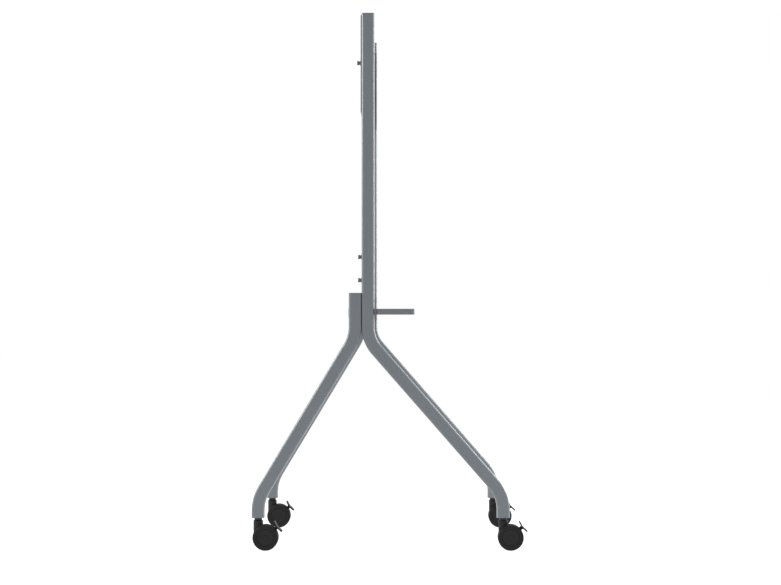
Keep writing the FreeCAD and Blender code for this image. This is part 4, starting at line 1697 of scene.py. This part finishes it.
def dress_solids() -> None:
    """Give the solids that stay their finishes."""
    words = {"leg_plug": PLUG_PLASTIC, "axle": ZINC, "pedal_pin": ZINC, "inserts": ZINC}
    for name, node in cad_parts.items():
        for word, finish in words.items():
            if name.endswith(word):
                for slot in node.material_slots:
                    slot.material = finish.material
                LOG.info("%s: solid dressed in %s", name, finish.name)


@dataclass(frozen=True)
class Lamp:
    """Softbox that looks at the stand."""

    name: str
    place: tuple[float, float, float]
    target: tuple[float, float, float]
    width: float
    height: float
    power: float
    mirrored: bool = True

    def build(self) -> None:
        """Hang the softbox."""
        light = bpy.data.lights.new(self.name, "AREA")
        light.shape = "RECTANGLE"
        light.size = self.width
        light.size_y = self.height
        light.energy = self.power
        lamp = bpy.data.objects.new(self.name, light)
        lamp.location = self.place
        lamp.rotation_euler = (Vector(self.target) - Vector(self.place)).to_track_quat("-Z", "Y").to_euler()
        lamp.visible_camera = False
        lamp.visible_glossy = self.mirrored
        bpy.context.scene.collection.objects.link(lamp)


LAMPS = (
    Lamp("front softbox", (-0.3, -4.2, 2.1), (0.0, 0.0, 0.8), 2.6, 2.6, 195.0, False),
    Lamp("edge softbox", (1.8, -3.7, 1.6), (0.0, 0.0, 0.8), 1.8, 2.8, 140.0),
    Lamp("rear softbox", (-0.6, 4.2, 2.5), (0.0, 0.0, 0.8), 2.4, 2.2, 190.0),
    Lamp("overhead softbox", (0.0, 0.0, 4.6), (0.0, 0.0, 0.0), 3.0, 3.0, 60.0),
)


@dataclass
class Studio:
    """Pale floor, white surroundings, softboxes and the camera."""

    eye: tuple[float, float, float] = (-6.548, -0.0371, 0.732)
    lens: float = 91.7
    sensor: float = 36.0
    shift_x: float = -0.0142
    shift_y: float = 0.0294
    far: float = 200.0
    floor_radius: float = 30.0
    floor_depth: float = 0.05
    floor_drop: float = 0.0002
    floor_colour: Paint = (0.80, 0.80, 0.80, 1.0)
    floor_seen: Paint = (0.25, 0.25, 0.25, 1.0)
    floor_glow: float = 0.90
    floor_matt: float = 0.9
    fill: float = 0.40

    def build(self) -> None:
        """Set up everything round the stand."""
        self.build_floor()
        self.build_world()
        for lamp in LAMPS:
            lamp.build()
        self.build_camera()
        bpy.context.scene.view_settings.view_transform = "Standard"

    def build_floor(self) -> None:
        """Lay a wide round floor."""
        bench = Bench("studio_floor")
        bench.bar(UP * -(self.floor_drop + self.floor_depth), UP * -self.floor_drop, 96, self.floor_radius)
        bench.pick_toward(UP)
        bench.inset(self.floor_radius / 2)
        material = bpy.data.materials.new("studio floor")
        sheet = NodeSheet(material)
        rays = self.seen_rays(sheet)
        glow = sheet.add("ShaderNodeMath", {0: rays, 1: self.floor_glow}, operation="MULTIPLY")
        sheet.feed(sheet.shader, {"Base Color": sheet.mix(rays, self.floor_colour, self.floor_seen),
                                  "Roughness": self.floor_matt, "Specular IOR Level": 0.0,
                                  "Emission Color": WHITE, "Emission Strength": glow.outputs[0]})
        leave_edit_mode()
        bench.piece.data.materials.append(material)

    def seen_rays(self, sheet: NodeSheet) -> Socket:
        """Tell the rays that see the surroundings from those that only light.

        Args:
            sheet: The node sheet.

        Returns:
            A factor of 1 for camera, glossy and transmission rays.
        """
        path = sheet.add("ShaderNodeLightPath").outputs
        seen = path["Is Camera Ray"]
        for word in ("Is Glossy Ray", "Is Transmission Ray"):
            seen = sheet.add("ShaderNodeMath", {0: seen, 1: path[word]}, operation="MAXIMUM").outputs[0]
        return seen

    def build_world(self) -> None:
        """Surround the stand with white that lights it only mildly."""
        world = bpy.data.worlds.new("studio")
        sheet = NodeSheet(world, "Background")
        level = sheet.spread(self.seen_rays(sheet), self.fill, 1.0, 0.0, 1.0)
        sheet.feed(sheet.shader, {"Color": WHITE, "Strength": level})
        bpy.context.scene.world = world

    def build_camera(self) -> None:
        """Stand the camera where the photograph was taken from."""
        camera = bpy.data.cameras.new("camera")
        camera.sensor_width = self.sensor
        camera.lens = self.lens
        camera.shift_x = self.shift_x
        camera.shift_y = self.shift_y
        camera.clip_end = self.far
        stand = bpy.data.objects.new("camera", camera)
        stand.location = self.eye
        stand.rotation_euler = (math.pi / 2, 0.0, -math.pi / 2)
        bpy.context.scene.collection.objects.link(stand)
        bpy.context.scene.camera = stand


def main() -> None:
    """Build the stand and its studio."""
    logging.basicConfig(level=logging.INFO, format="%(message)s")
    for side in Side:
        for assembly in (SideFrame, DisplayBracket, JointPlate, TrayArm):
            assembly(side).build()
    for assembly in (BackPlate, CrossTube, Tray, RearScrews, SmallScrews, Caster):
        assembly().build()
    dress_solids()
    Studio().build()


if __name__ == "__main__":
    main()
